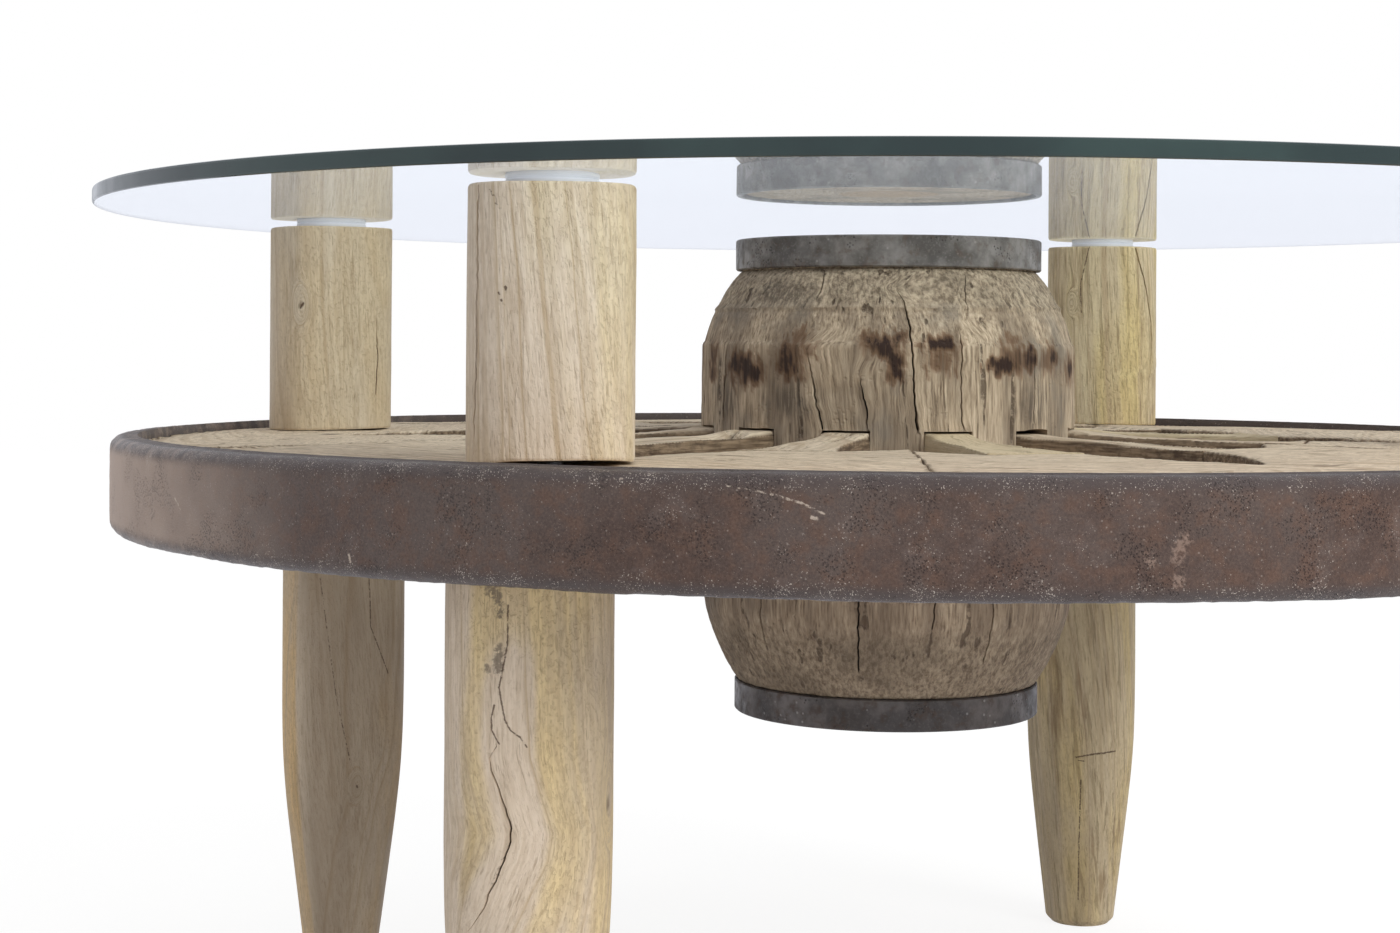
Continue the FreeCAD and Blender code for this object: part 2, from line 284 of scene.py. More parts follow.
hub_rows = spread_rows(hub_profile, 0.00148,
    (mortice_low, mortice_low + 0.0004, mortice_high - 0.0004, mortice_high))
row_number = np.arange(len(hub_rows))
on_flat_end = (hub_rows[:, 0] < 0.08) & (row_number % 4 > 0) & (row_number < len(hub_rows) - 1)
hub = turn_on_lathe("old_hub", hub_rows[~on_flat_end], hub_columns, first_spoke)
spots = points_of(hub)
hub_radius = np.hypot(spots[:, 0], spots[:, 1])
hub_angle = np.arctan2(spots[:, 1], spots[:, 0])
height = spots[:, 2]
around = (hub_angle - first_spoke) % (2 * math.pi)
outside = (hub_radius > 0.0842) & (height > 0.2125) & (height < 0.4484)
home = hub_angle.copy()
cracked = np.zeros(len(spots))
stained = np.zeros(len(spots))
sunk = np.zeros(len(spots))

# worn unevenness: the grain stands proud round the belt, and both shoulders are rough and pitted
body_lumps = lumps(spots, 3, 0.0, (14, 14, 10))
grain_lumps = lumps(rows_of(hub_angle * 46, height * 34, height * 0), 3, 7.0)
rough_lumps = lumps(spots, 4, 3.0, (150, 150, 190))
rough_share = np.maximum(ease(height + 0.004 * body_lumps, 0.419, 0.431), 1 - ease(height, 0.24, 0.256))
sunk += 0.0004 + 0.0007 * np.abs(body_lumps) + 0.0004 * grain_lumps * (1 - rough_share)
sunk += rough_share * (0.0003 + 0.0012 * np.abs(rough_lumps))
sunk -= 0.0012 * np.exp(-((height - 0.4268 - 0.001 * body_lumps) / 0.0011) ** 2)


def wrap(angle):
    return (angle + math.pi) % (2 * math.pi) - math.pi


def open_split(home, step, angle, level, radius_at, split, seed):
    """Draws the columns of points over to a split line and opens it there. The split runs through
    these (degrees, height) points, from its wide end to its fine end. Returns the new angles, how
    deep the wood has opened, and 1 along the bottom of the split."""
    line, half_width, depth = split
    heights = np.array([z for _, z in line])
    bends = np.radians(np.array([a for a, _ in line]) - line[0][0])
    own = home[np.argmin(np.abs(wrap(home - math.radians(line[0][0]))))]
    order = np.argsort(heights)
    low, high = heights.min(), heights.max()
    off = wrap(home - own)
    reach = max(np.abs(bends).max() * 2.4, 5 * step)
    chosen = np.flatnonzero(
        (np.abs(off) < reach) & (level > low - 0.013) & (level < high + 0.013) & (radius_at > 0))
    off, at = off[chosen], level[chosen]
    zigzag = np.array(
        [noise.noise((z * 150, seed, 0)) + 0.6 * noise.noise((z * 500, seed, 5)) for z in at.tolist()])
    far_along = np.clip(np.abs(at - heights[0]) / 0.008, 0, 1)
    shift = np.interp(at, heights[order], bends[order]) + 0.0009 / radius_at[chosen] * zigzag * far_along
    shift = shift * ease(at, low - 0.012, low) * (1 - ease(at, high, high + 0.012))
    wide_end, fine_end = 0.0015, min(0.4 * (high - low), 0.018)
    low_end, high_end = (wide_end, fine_end) if heights[0] < heights[-1] else (fine_end, wide_end)
    opened = np.clip((at - low) / low_end, 0, 1) * np.clip((high - at) / high_end, 0, 1)
    column = np.rint(off / step)
    moved = angle[chosen] + shift * (1 - ease(np.abs(off), 0, reach))
    lip = own + shift + column * half_width * (0.35 + 0.65 * opened) / radius_at[chosen]
    beside = (np.abs(column) == 1) * (opened > 0)
    angle[chosen] = moved + wrap(lip - moved) * beside
    bottom = opened * (column == 0)
    return chosen, depth * bottom, bottom


# the splits: each from its wide end to its fine end, then its half width and how deep it is
splits = [([(-81.3, 0.3585), (-82.2, 0.3763), (-82.6, 0.3978), (-83.5, 0.4165), (-85.0, 0.4288),
            (-87.2, 0.436)], 0.0006, 0.005),
    ([(-66.9, 0.359), (-68.0, 0.3657), (-68.0, 0.3926), (-67.6, 0.4168), (-66.2, 0.434)], 0.00045, 0.003),
    ([(-108.9, 0.3585), (-112.2, 0.3838), (-114.1, 0.4027)], 0.0007, 0.005),
    ([(-95.0, 0.359), (-95.6, 0.3734), (-97.2, 0.3841), (-97.6, 0.389)], 0.0006, 0.004),
    ([(-148.1, 0.3631), (-147.1, 0.3968), (-146.0, 0.4136)], 0.0005, 0.003),
    ([(-113.4, 0.4292), (-112.2, 0.438), (-113.0, 0.447)], 0.0005, 0.003),
    ([(-42.4, 0.3625), (-41.8, 0.3762), (-41.5, 0.4063)], 0.0005, 0.003),
    ([(-61.0, 0.445), (-63.5, 0.436), (-64.6, 0.42)], 0.0004, 0.002),
    ([(-130.9, 0.24), (-130.1, 0.27), (-131.0, 0.299)], 0.0005, 0.003),
    ([(-99.0, 0.228), (-98.2, 0.262), (-99.0, 0.303)], 0.0006, 0.004),
    ([(-56.6, 0.232), (-56.0, 0.26), (-57.0, 0.29)], 0.0005, 0.003),
    ([(-76.0, 0.252), (-75.2, 0.27), (-75.6, 0.302)], 0.0005, 0.003),
    ([(-118.0, 0.30), (-117.0, 0.28), (-117.6, 0.258)], 0.0005, 0.003)]
crack_dice = np.random.default_rng(12)
for turn in range(22):
    middle = -18 + turn * 10.6 + crack_dice.uniform(-2, 2)
    low = crack_dice.uniform(0.361, 0.39) if turn % 3 else crack_dice.uniform(0.222, 0.26)
    high = low + crack_dice.uniform(0.02, 0.04)
    line = [(middle, low), (middle + crack_dice.uniform(-1, 1), (low + high) / 2),
        (middle + crack_dice.uniform(-2, 2), high)]
    splits.append((line, crack_dice.uniform(0.0004, 0.0008), crack_dice.uniform(0.002, 0.005)))
for order, split in enumerate(splits):
    chosen, deep, dark = open_split(home, 2 * math.pi / hub_columns, hub_angle, height,
        np.where(outside, hub_radius, 0.0), split, order * 3.7)
    sunk[chosen] += deep
    cracked[chosen] = np.maximum(cracked[chosen], dark)

# a split panel beside one mortice has sunk a little, and is darker
panel = outside * ease(height, 0.3575, 0.3595) * (1 - ease(height, 0.379, 0.389))
edge_blur = 0.012
panel_left = np.interp(height, (0.3585, 0.377, 0.3947), np.radians((-108.9, -111.3, -113.0)))
panel_right = np.interp(height, (0.359, 0.3704, 0.389), np.radians((-95.0, -95.6, -97.6)))
panel = panel * ease(hub_angle, panel_left, panel_left + edge_blur)
panel = panel * (1 - ease(hub_angle, panel_right - edge_blur, panel_right))
sunk += 0.0014 * panel

# stains of burnt iron, each (degrees round, height, half width, half height, strength)
stains = [(-156, 0.396, 3.6, 0.013, 0.8), (-138.5, 0.393, 7.5, 0.011, 1.0),
    (-133.0, 0.391, 4.6, 0.009, 1.1), (-120.5, 0.395, 4.0, 0.009, 1.0), (-118.0, 0.401, 7.5, 0.014, 0.5),
    (-94.0, 0.4075, 4.4, 0.007, 0.8), (-89.5, 0.404, 5.4, 0.010, 1.0), (-87.6, 0.395, 3.0, 0.011, 1.15),
    (-74.2, 0.4065, 6.0, 0.0052, 1.15), (-74.2, 0.399, 6.0, 0.012, 0.45), (-54.6, 0.395, 5.6, 0.0062, 1.15),
    (-50.0, 0.3995, 7.5, 0.012, 0.7), (-44.0, 0.3985, 4.0, 0.008, 1.0)]
for turn in range(16):
    middle = -30 + turn * 14.4 + crack_dice.uniform(-3, 3)
    level = 0.398 + crack_dice.uniform(-0.005, 0.006)
    stains.append((middle, level, crack_dice.uniform(2.0, 4.0), crack_dice.uniform(0.005, 0.009), 1.0))
    stains.append((middle + crack_dice.uniform(-3, 3), level, 6.5, 0.011, 0.5))
ragged = lumps(rows_of(hub_angle * 30, height * 120, height * 0), 4, 21.0)
for middle, level, half_width, half_height, strength in stains:
    off = np.abs(wrap(hub_angle - math.radians(middle))) / math.radians(half_width)
    blot = np.hypot(off, (height - level) / half_height) + 0.7 * ragged
    stained = np.maximum(stained, strength * (1 - ease(blot, 0.1, 1.35)) * outside)

greyed = np.zeros(len(spots))
grey_patches = ((-146.0, 0.374, 6.0, 0.013), (-120.5, 0.375, 9.0, 0.011), (-41.0, 0.372, 7.0, 0.014),
    (-127.0, 0.434, 14.0, 0.008), (60.0, 0.378, 9.0, 0.013), (120.0, 0.372, 9.0, 0.012),
    (170.0, 0.375, 8.0, 0.014), (10.0, 0.38, 7.0, 0.013))
for middle, level, half_width, half_height in grey_patches:
    off = wrap(hub_angle - math.radians(middle)) / math.radians(half_width)
    away = np.hypot(off, (height - level) / half_height)
    greyed = np.maximum(greyed, (1 - ease(away + 0.5 * ragged, 0.3, 1.4)) * outside)

radius_now = np.where(outside, hub_radius - sunk, hub_radius)

# mortices: the wall steps straight in where a spoke enters, and its top edge is worn and gaping
from_spoke = (around + spoke_step / 2) % spoke_step - spoke_step / 2
column = np.rint(from_spoke / (2 * math.pi / hub_columns)).astype(int)
gaping = lumps(rows_of(home * 5, home * 0, home * 0), 2, 2.0)
wear_at_top = 0.0004 + 0.003 * np.clip(gaping, 0, 1)
rise = outside * ease(height, 0.3575, 0.3588) * (1 - ease(height, 0.3592, 0.374))
rows_between = (height > mortice_low + 0.0002) & (height < mortice_high - 0.0002) & outside
in_mortice = (np.abs(column) <= 8) & rows_between
edge_angle = np.arcsin(mortice_half_width / belt_radius)
edge_in = edge_angle - 0.0004
side = np.sign(column)
snapped = np.where(np.abs(column) == 9, side * edge_angle, from_spoke)
snapped = np.where(np.abs(column) == 10, side * (edge_angle + 0.011), snapped)
snapped = np.where(np.abs(column) == 8, side * edge_in, snapped)
near_mortice = ease(height, 0.290, 0.303) * (1 - ease(height, 0.3592, 0.372))
hub_angle = hub_angle + (snapped - from_spoke) * near_mortice * outside
depth_in = np.where(in_mortice, 0.026, 0.0)
across = np.tan(np.where(np.abs(column) == 8, side * edge_in, from_spoke)) * belt_radius
deep_radius = radius_now - depth_in
hub_angle = np.where(in_mortice, home - from_spoke + np.arctan2(across, deep_radius), hub_angle)
radius_now = np.where(in_mortice, deep_radius, radius_now)
height_now = height + rise * wear_at_top
shape = rows_of(radius_now * np.cos(hub_angle), radius_now * np.sin(hub_angle), height_now)
set_points(hub, shape)
# the split mark is 1 all over the mortice walls and along the bottom of each split: the hub's finish paints
# shade there
mark(hub, split=np.where(in_mortice, 1.0, cracked), rough=rough_share, stain=stained, panel=panel,
    greyed=greyed, grain=rows_of(spots[:, 0] + 0.012, spots[:, 1] - 0.008, spots[:, 2]))


def node_group(name, inputs, outputs):
    group = bpy.data.node_groups.new(name, "ShaderNodeTree")
    for label, kind, value in inputs:
        socket = group.interface.new_socket(label, in_out="INPUT", socket_type="NodeSocket" + kind)
        if value is not None:
            socket.default_value = value
    for label, kind in outputs:
        group.interface.new_socket(label, in_out="OUTPUT", socket_type="NodeSocket" + kind)
    work_in(group)
    return group, group.nodes.new("NodeGroupInput").outputs, group.nodes.new("NodeGroupOutput").inputs


def hand_out(gives, **values):
    for label, value in values.items():
        bench.links.new(value, gives[label.replace("_", " ")])


def placed(vector, scale=(1, 1, 1), location=(0, 0, 0), rotation=(0, 0, 0)):
    return shader("Mapping",
        {"Vector": vector, "Scale": scale, "Location": location, "Rotation": rotation}).outputs[0]


def grainy(vector, scale, detail=3.0, rough=0.55, stretch=(1, 1, 1)):
    sockets = {"Vector": placed(vector, stretch), "Scale": scale, "Detail": detail, "Roughness": rough}
    return shader("TexNoise", sockets).outputs["Fac"]


def steps(value, low, high, out_low=0.0, out_high=1.0):
    return shader("MapRange",
        {"Value": value, "From Min": low, "From Max": high, "To Min": out_low, "To Max": out_high},
        interpolation_type="SMOOTHSTEP").outputs[0]


def tint(red, green, blue):
    """A colour as it is read off a picture, from 0 to 255."""
    linear = [((c / 255 + 0.055) / 1.055) ** 2.4 if c > 10 else c / 255 / 12.92 for c in (red, green, blue)]
    return (*linear, 1)


# Wood figure, used by every timber: yearly rings about the pith, long fibres and open pores
wood_figure, given, gives = node_group("Wood figure",
    [("Place", "Vector", None), ("Ring width", "Float", 0.004), ("Wander", "Float", 0.004),
        ("Fibre size", "Float", 1.0)],
    [("Rings", "Float"), ("Year tone", "Float"), ("Fibres", "Float"), ("Pores", "Float")])
wander = shader("TexNoise",
    {"Vector": placed(given["Place"], (1, 1, 0.28)), "Scale": 13.0, "Detail": 3.0, "Roughness": 0.5})
pushed = vectors("SCALE", vectors("SUBTRACT", wander.outputs["Color"], (0.5, 0.5, 0.5)), given["Wander"])
parts = shader("SeparateXYZ", {0: vectors("ADD", given["Place"], pushed)}).outputs
from_pith = reckon("SQRT", plus(times(parts[0], parts[0]), times(parts[1], parts[1])))
years = reckon("DIVIDE", from_pith, given["Ring width"])
uneven_years = shader("TexNoise", {"W": years, "Scale": 0.37, "Detail": 2.0}, noise_dimensions="1D")
years = plus(years, times(uneven_years.outputs["Fac"], 3.0))
season = reckon("FRACT", years)
late_wood = times(steps(season, 0.35, 0.86), steps(season, 1.0, 0.9))
year_tone = shader("TexNoise", {"W": years, "Scale": 0.9, "Detail": 1.0}, noise_dimensions="1D")
fibres = grainy(placed(given["Place"], (1, 1, 0.07)), times(given["Fibre size"], 620.0), 4.0, 0.62)
pores = grainy(placed(given["Place"], (1, 1, 0.09)), times(given["Fibre size"], 1200.0), 2.0, 0.5)
pores = times(steps(pores, 0.56, 0.68), steps(season, 0.75, 0.2, 0.25, 1.0))
hand_out(gives, Rings=late_wood, Year_tone=year_tone.outputs["Fac"], Fibres=fibres, Pores=pores)

# Weathering, used by old wood and by iron: broad grey patches, fine dirt, and small pits
weathering, given, gives = node_group("Weathering",
    [("Place", "Vector", None), ("Patch size", "Float", 14.0), ("Dirt size", "Float", 160.0),
        ("Pit size", "Float", 420.0)],
    [("Patches", "Float"), ("Dirt", "Float"), ("Pits", "Float"), ("Specks", "Float")])
patches = grainy(given["Place"], given["Patch size"], 4.0, 0.6)
dirt = grainy(given["Place"], given["Dirt size"], 5.0, 0.65)
pit_cells = shader("TexVoronoi", {"Vector": given["Place"], "Scale": given["Pit size"]})
pit_spread = grainy(given["Place"], times(given["Dirt size"], 0.4), 3.0, 0.5)
pit_depth = times(steps(pit_cells.outputs["Distance"], 0.42, 0.12), steps(pit_spread, 0.5, 0.62))
speck_cells = shader("TexVoronoi", {"Vector": given["Place"], "Scale": times(given["Pit size"], 0.6)})
speck_pick = shader("SeparateColor", {0: speck_cells.outputs["Color"]}).outputs[0]
specks = times(steps(speck_cells.outputs["Distance"], 0.3, 0.14), reckon("GREATER_THAN", speck_pick, 0.9))
hand_out(gives, Patches=patches, Dirt=dirt, Pits=pit_depth, Specks=specks)


# A fine line, a scratch or a hair crack, between two places on a surface laid out flat
fine_line, given, gives = node_group("Fine line",
    [("Place", "Vector", None), ("Start", "Vector", None), ("End", "Vector", None),
        ("Width", "Float", 0.0005), ("Broken", "Float", 0.5)], [("Share", "Float")])
run = vectors("SUBTRACT", given["End"], given["Start"])
off = vectors("SUBTRACT", given["Place"], given["Start"])
part = reckon("DIVIDE", vectors("DOT_PRODUCT", off, run, "Value"),
    vectors("DOT_PRODUCT", run, run, "Value"), clamp=True)
away = vectors("DISTANCE", off, vectors("SCALE", run, part), "Value")
frayed = times(minus(grainy(given["Place"], 520.0, 4.0, 0.62), 0.5), times(given["Width"], 2.4))
away = plus(away, frayed)
line_share = steps(away, given["Width"], times(given["Width"], 0.3))
gaps = minus(grainy(given["Place"], 420.0, 3.0, 0.6), times(given["Broken"], 0.2))
line_share = times(line_share, steps(gaps, 0.3, 0.45))
hand_out(gives, Share=line_share)


def lay_flat(piece, angle, level, radius):
    """Keeps, for each point of a round piece, its place on the surface rolled out flat: metres round
    from the front, and height."""
    turned = wrap(angle + math.pi / 2)
    level = np.where(np.abs(turned) > 2.9, 9.0, level)
    mark(piece, flat=rows_of(turned * radius, level, 0 * level))


def drawn(flat, lines, radius):
    """Fine lines through these (degrees, height) points; each is (points, width, broken)."""
    total = 0.0
    for points, width, broken in lines:
        flat_points = [(math.radians(a + 90) * radius, z, 0) for a, z in points]
        for start, end in zip(flat_points, flat_points[1:]):
            drawn_line = use_group(fine_line, Place=flat, Start=start, End=end, Width=width, Broken=broken)
            total = reckon("MAXIMUM", total, drawn_line["Share"])
    return total


def use_group(group, **sockets):
    named = {label.replace("_", " "): value for label, value in sockets.items()}
    return shader("Group", named, node_tree=group).outputs


def figured(place, ring_width, wander, fibre_size):
    return use_group(wood_figure, Place=place, Ring_width=ring_width, Wander=wander, Fibre_size=fibre_size)


def aged(place, patch_size, dirt_size, pit_size):
    return use_group(weathering, Place=place, Patch_size=patch_size, Dirt_size=dirt_size, Pit_size=pit_size)


def relief(height_value, strength, distance):
    return shader("Bump", {"Height": height_value, "Strength": strength, "Distance": distance}).outputs[0]


def surface(**sockets):
    named = {label.replace("_", " "): value for label, value in sockets.items()}
    shader("OutputMaterial", {"Surface": shader("BsdfPrincipled", named).outputs[0]})


def marked(name, output="Fac"):
    """What mark() kept on the piece under this name."""
    return shader("Attribute", attribute_name=name).outputs[output]


def coats(colour, *layers):
    """Lays tints over a colour one after another, each as (share, red, green, blue)."""
    for share, *shade in layers:
        colour = blend(share, colour, tint(*shade))
    return colour


hub_finish = new_finish("weathered hub wood")
place = marked("grain", "Vector")
figure = figured(place, 0.006, 0.03, 1.15)
age = aged(place, 21.0, 150.0, 330.0)
level = shader("SeparateXYZ", {0: place}).outputs[2]
rough_mark = marked("rough")
fibre_tone = shader("ValToRGB", {"Fac": figure["Fibres"]})
ramp = fibre_tone.color_ramp
ramp.elements[0].position, ramp.elements[0].color = 0.3, tint(112, 94, 76)
ramp.elements[1].position, ramp.elements[1].color = 0.7, tint(226, 206, 180)
middle_tone = ramp.elements.new(0.47)
middle_tone.color = tint(184, 164, 140)
broad = grainy(place, 75.0, 3.0, 0.6, (1, 1, 0.16))
colour = coats(
    fibre_tone.outputs["Color"],
    (steps(broad, 0.36, 0.6, 0.7, 0), 120, 104, 88),
    (steps(age["Patches"], 0.5, 0.66, 0, 0.55), 132, 124, 114))
hairs = grainy(place, 420.0, 5.0, 0.72, (1, 1, 0.4))
hair_tone = blend(steps(hairs, 0.36, 0.64), tint(108, 93, 76), tint(218, 199, 172))
colour = blend(times(rough_mark, 0.65), colour, hair_tone)
shadowy = times(steps(age["Patches"], 0.52, 0.38), rough_mark)
colour = blend(times(shadowy, 0.45), colour, tint(98, 88, 74))
checks = grainy(place, 190.0, 2.0, 0.5, (1, 1, 0.07))
checks = times(steps(checks, 0.36, 0.31), steps(age["Dirt"], 0.4, 0.55))
colour = coats(
    colour,
    (times(checks, 0.75), 66, 50, 38),
    (times(age["Pits"], times(rough_mark, 0.4)), 84, 69, 54))
# painted shade: the hub darkens toward its bottom, below the spokes, where the wheel shades it
under_wheel_shade = steps(level, 0.345, 0.30)
colour = coats(
    colour,
    (times(under_wheel_shade, 0.3), 124, 102, 86),
    (times(marked("panel"), 0.3), 96, 84, 72))
greyed = times(marked("greyed"), steps(figure["Fibres"], 0.62, 0.4, 0.25, 0.75))
colour = blend(greyed, colour, tint(98, 88, 78))
stain = plus(marked("stain"), times(minus(figure["Fibres"], 0.5), 1.7))
stain = times(stain, steps(marked("stain"), 0.0, 0.12))
colour = blend(steps(stain, -0.1, 0.5, 0, 0.6), colour, tint(150, 108, 76), "MULTIPLY")
colour = coats(
    colour,
    (steps(stain, 0.15, 0.5, 0, 0.5), 104, 76, 54),
    (steps(stain, 0.42, 1.0, 0, 0.92), 44, 31, 28))
# painted shade: near black inside the mortices and along the bottom of each split
split_shade = marked("split")
colour = blend(steps(split_shade, 0.1, 0.7), colour, tint(34, 26, 20))
hub_height = plus(times(figure["Fibres"], 0.8), times(hairs, times(rough_mark, 1.3)))
hub_height = minus(hub_height, times(age["Pits"], 0.35))
hub_height = minus(hub_height, times(checks, 0.9))
surface(Base_Color=colour, Roughness=0.86, Normal=relief(hub_height, 0.8, 0.0014))
hub.data.materials.append(hub_finish)
smooth_up_to(hub, 58)
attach(hub, "table_base")
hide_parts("hub")

# The axle hole runs through the hub. It was closed with a round plug of plain wood, glued in flush
# with both ends, whose end grain shows its rings.
plug_finish = new_finish("plug wood")
place = own_place()
figure = figured(placed(place, location=(0.004, 0.007, 0)), 0.0028, 0.002, 0.7)
age = aged(place, 30.0, 180.0, 600.0)
colour = coats(
    tint(166, 142, 112),
    (steps(figure["Rings"], 0.1, 0.9, 0, 0.6), 120, 96, 70),
    (steps(age["Dirt"], 0.5, 0.75, 0, 0.6), 96, 78, 60))
surface(Base_Color=colour, Roughness=0.85, Normal=relief(age["Dirt"], 0.5, 0.0006))


def give_finish(node, finish):
    """Puts a better finish on a CAD node that stays."""
    nodes[node].data.materials.clear()
    nodes[node].data.materials.append(finish)


give_finish("axle_hole_plug", plug_finish)


# Two hub bands: hoops of flat iron, shrunk on hot over the turned necks to hold the hub together.
# The upper one is scoured grey, the lower one is darker.
def hub_band(name, node, inner, outer, bottom, top, seed):
    edge = 0.0007
    rim = [(inner, bottom), (outer - edge, bottom), (outer, bottom + edge)]
    rim += [(outer, z) for z in np.linspace(bottom + 0.002, top - 0.002, 9)]
    rim += [(outer, top - edge), (outer - edge, top), (inner, top)]
    rim += [(inner, z) for z in np.linspace(top - 0.003, bottom + 0.003, 4)]
    band = turn_on_lathe(name, rim, 300, 0.1)
    spots = points_of(band)
    out = spots[:, :2] / np.hypot(spots[:, 0], spots[:, 1])[:, None]
    on_face = np.hypot(spots[:, 0], spots[:, 1]) > inner + 0.0001
    dents = 0.00012 + 0.00035 * np.abs(lumps(spots, 2, seed, (22, 22, 30))) * on_face
    spots[:, :2] -= out * (dents * on_face)[:, None]
    set_points(band, spots)
    smooth_up_to(band, 40)
    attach(band, "table_base")
    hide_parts(node)
    return band


def band_finish(name, pale_tone, dark_tone, rust_tone, rust_share):
    finish = new_finish(name)
    place = own_place()
    age = aged(place, 26.0, 150.0, 520.0)
    colour = blend(steps(age["Patches"], 0.4, 0.6), dark_tone, pale_tone)
    brushed = grainy(place, 90.0, 6.0, 0.7, (1, 1, 0.8))
    colour = blend(steps(brushed, 0.4, 0.66, 0, 0.6), colour, dark_tone)
    colour = blend(steps(grainy(place, 700.0, 2.0, 0.6), 0.5, 0.72, 0, 0.35), colour, pale_tone)
    rust = times(steps(age["Dirt"], 0.52, 0.68), rust_share)
    colour = blend(rust, colour, rust_tone)
    colour = coats(
        colour,
        (times(age["Pits"], 0.75), 40, 34, 32),
        (times(age["Specks"], 0.35), 190, 186, 182))
    shine = steps(age["Dirt"], 0.35, 0.7, 0.42, 0.72)
    pitted = minus(times(age["Dirt"], 0.5), age["Pits"])
    surface(Base_Color=colour, Metallic=0.35, Roughness=shine, Normal=relief(pitted, 0.6, 0.0005))
    return finish


upper_band = hub_band("iron_band_upper", "hub_band_upper", 0.08495, 0.0884, 0.4485, 0.466, 1.5)
upper_band.data.materials.append(
    band_finish("scoured band iron", tint(146, 142, 138), tint(92, 88, 84), tint(106, 88, 76), 0.45))
lower_band = hub_band("iron_band_lower", "hub_band_lower", 0.08405, 0.0875, 0.195, 0.2125, 8.5)
lower_band.data.materials.append(
    band_finish("dark band iron", tint(108, 101, 98), tint(70, 65, 63), tint(86, 68, 58), 0.5))


# Twelve spokes of oak, driven into the hub's mortices and tongued into the rim. Their tops were
# planed with the rim when the wheel became a table; their sides keep the old dark surface.
def timber_from(node, grain_size, smoothing):
    """A copy of a CAD node as one even skin of small faces, soft at its edges, to be worn."""
    piece = bpy.data.objects.new("oak_" + node, nodes[node].data.copy())
    bpy.context.scene.collection.objects.link(piece)
    take_up(piece)
    piece.data.materials.clear()
    bpy.ops.object.mode_set(mode="EDIT")
    bpy.ops.mesh.select_all(action="SELECT")
    bpy.ops.mesh.remove_doubles(threshold=1e-5)
    bpy.ops.object.mode_set(mode="OBJECT")
    skin = piece.modifiers.new("even skin", "REMESH")
    skin.mode = "VOXEL"
    skin.voxel_size = grain_size
    bpy.ops.object.modifier_apply(modifier=skin.name)
    worn = piece.modifiers.new("worn edges", "SMOOTH")
    worn.factor = 0.5
    worn.iterations = smoothing
    bpy.ops.object.modifier_apply(modifier=worn.name)
    bpy.ops.object.shade_smooth()
    return piece


def facing(piece):
    directions = np.zeros(len(piece.data.vertices) * 3)
    piece.data.vertices.foreach_get("normal", directions)
    return directions.reshape(-1, 3)


def out_and_across(points, angle):
    """How far each point lies out from the wheel's middle at this angle, and how far to one side."""
    return (points[:, 0] * math.cos(angle) + points[:, 1] * math.sin(angle),
        points[:, 1] * math.cos(angle) - points[:, 0] * math.sin(angle))


def wandering(run, pace, seed, shift):
    """A smooth wander from -1 to 1 or so along a piece of wood."""
    return np.array([noise.noise((r * pace, seed, shift)) for r in run.tolist()])


def split_along(run, off_line, width, top, pace, seed, low, high):
    """1 along the bottom of a broken split that follows a line on a top face."""
    broken = ease(wandering(run, pace, seed, 9.0), low, high)
    return np.clip(1 - np.abs(off_line) / width, 0, 1) * top * broken


def planed_share(points, ways, rough):
    """1 where the top was planed clean, 0 where the old dark surface is left."""
    return ease(ways[:, 2] + 0.25 * rough, 0.55, 0.85) * ease(points[:, 2], 0.335, 0.345)


old_oak = new_finish("old wheel oak")
place = marked("grain", "Vector")
figure = figured(place, 0.0056, 0.02, 0.75)
age = aged(place, 17.0, 150.0, 420.0)
planed = marked("planed")
fresh = coats(
    tint(220, 201, 176),
    (steps(figure["Rings"], 0.1, 0.9, 0, 0.45), 166, 140, 111),
    (steps(figure["Fibres"], 0.38, 0.6, 0.45, 0), 160, 136, 110),
    (steps(age["Patches"], 0.5, 0.72, 0, 0.45), 186, 168, 146))
streaks = grainy(place, 120.0, 3.0, 0.6, (1, 1, 0.06))
fresh = coats(
    fresh,
    (steps(streaks, 0.39, 0.33, 0, 0.6), 104, 84, 64),
    (times(figure["Pores"], 0.5), 96, 74, 54))
old = coats(
    tint(92, 74, 58),
    (steps(figure["Fibres"], 0.35, 0.65), 150, 128, 104),
    (steps(age["Dirt"], 0.45, 0.7, 0, 0.6), 68, 54, 43))
newer = marked("newer")
fresh = blend(times(newer, 0.6), fresh, tint(208, 188, 150))
colour = blend(reckon("MAXIMUM", planed, times(newer, 0.8)), old, fresh)
# knots are darker; the split mark paints shade along the bottom of each split
colour = coats(
    colour,
    (marked("knot"), 70, 54, 42),
    (marked("split"), 44, 34, 26))
oak_height = minus(figure["Fibres"], times(figure["Pores"], 0.6))
oak_height = plus(oak_height, times(figure["Rings"], 0.35))
oak_height = minus(oak_height, steps(streaks, 0.40, 0.33, 0, 0.7))
surface(Base_Color=colour, Roughness=0.82, Normal=relief(oak_height, 0.6, 0.001))

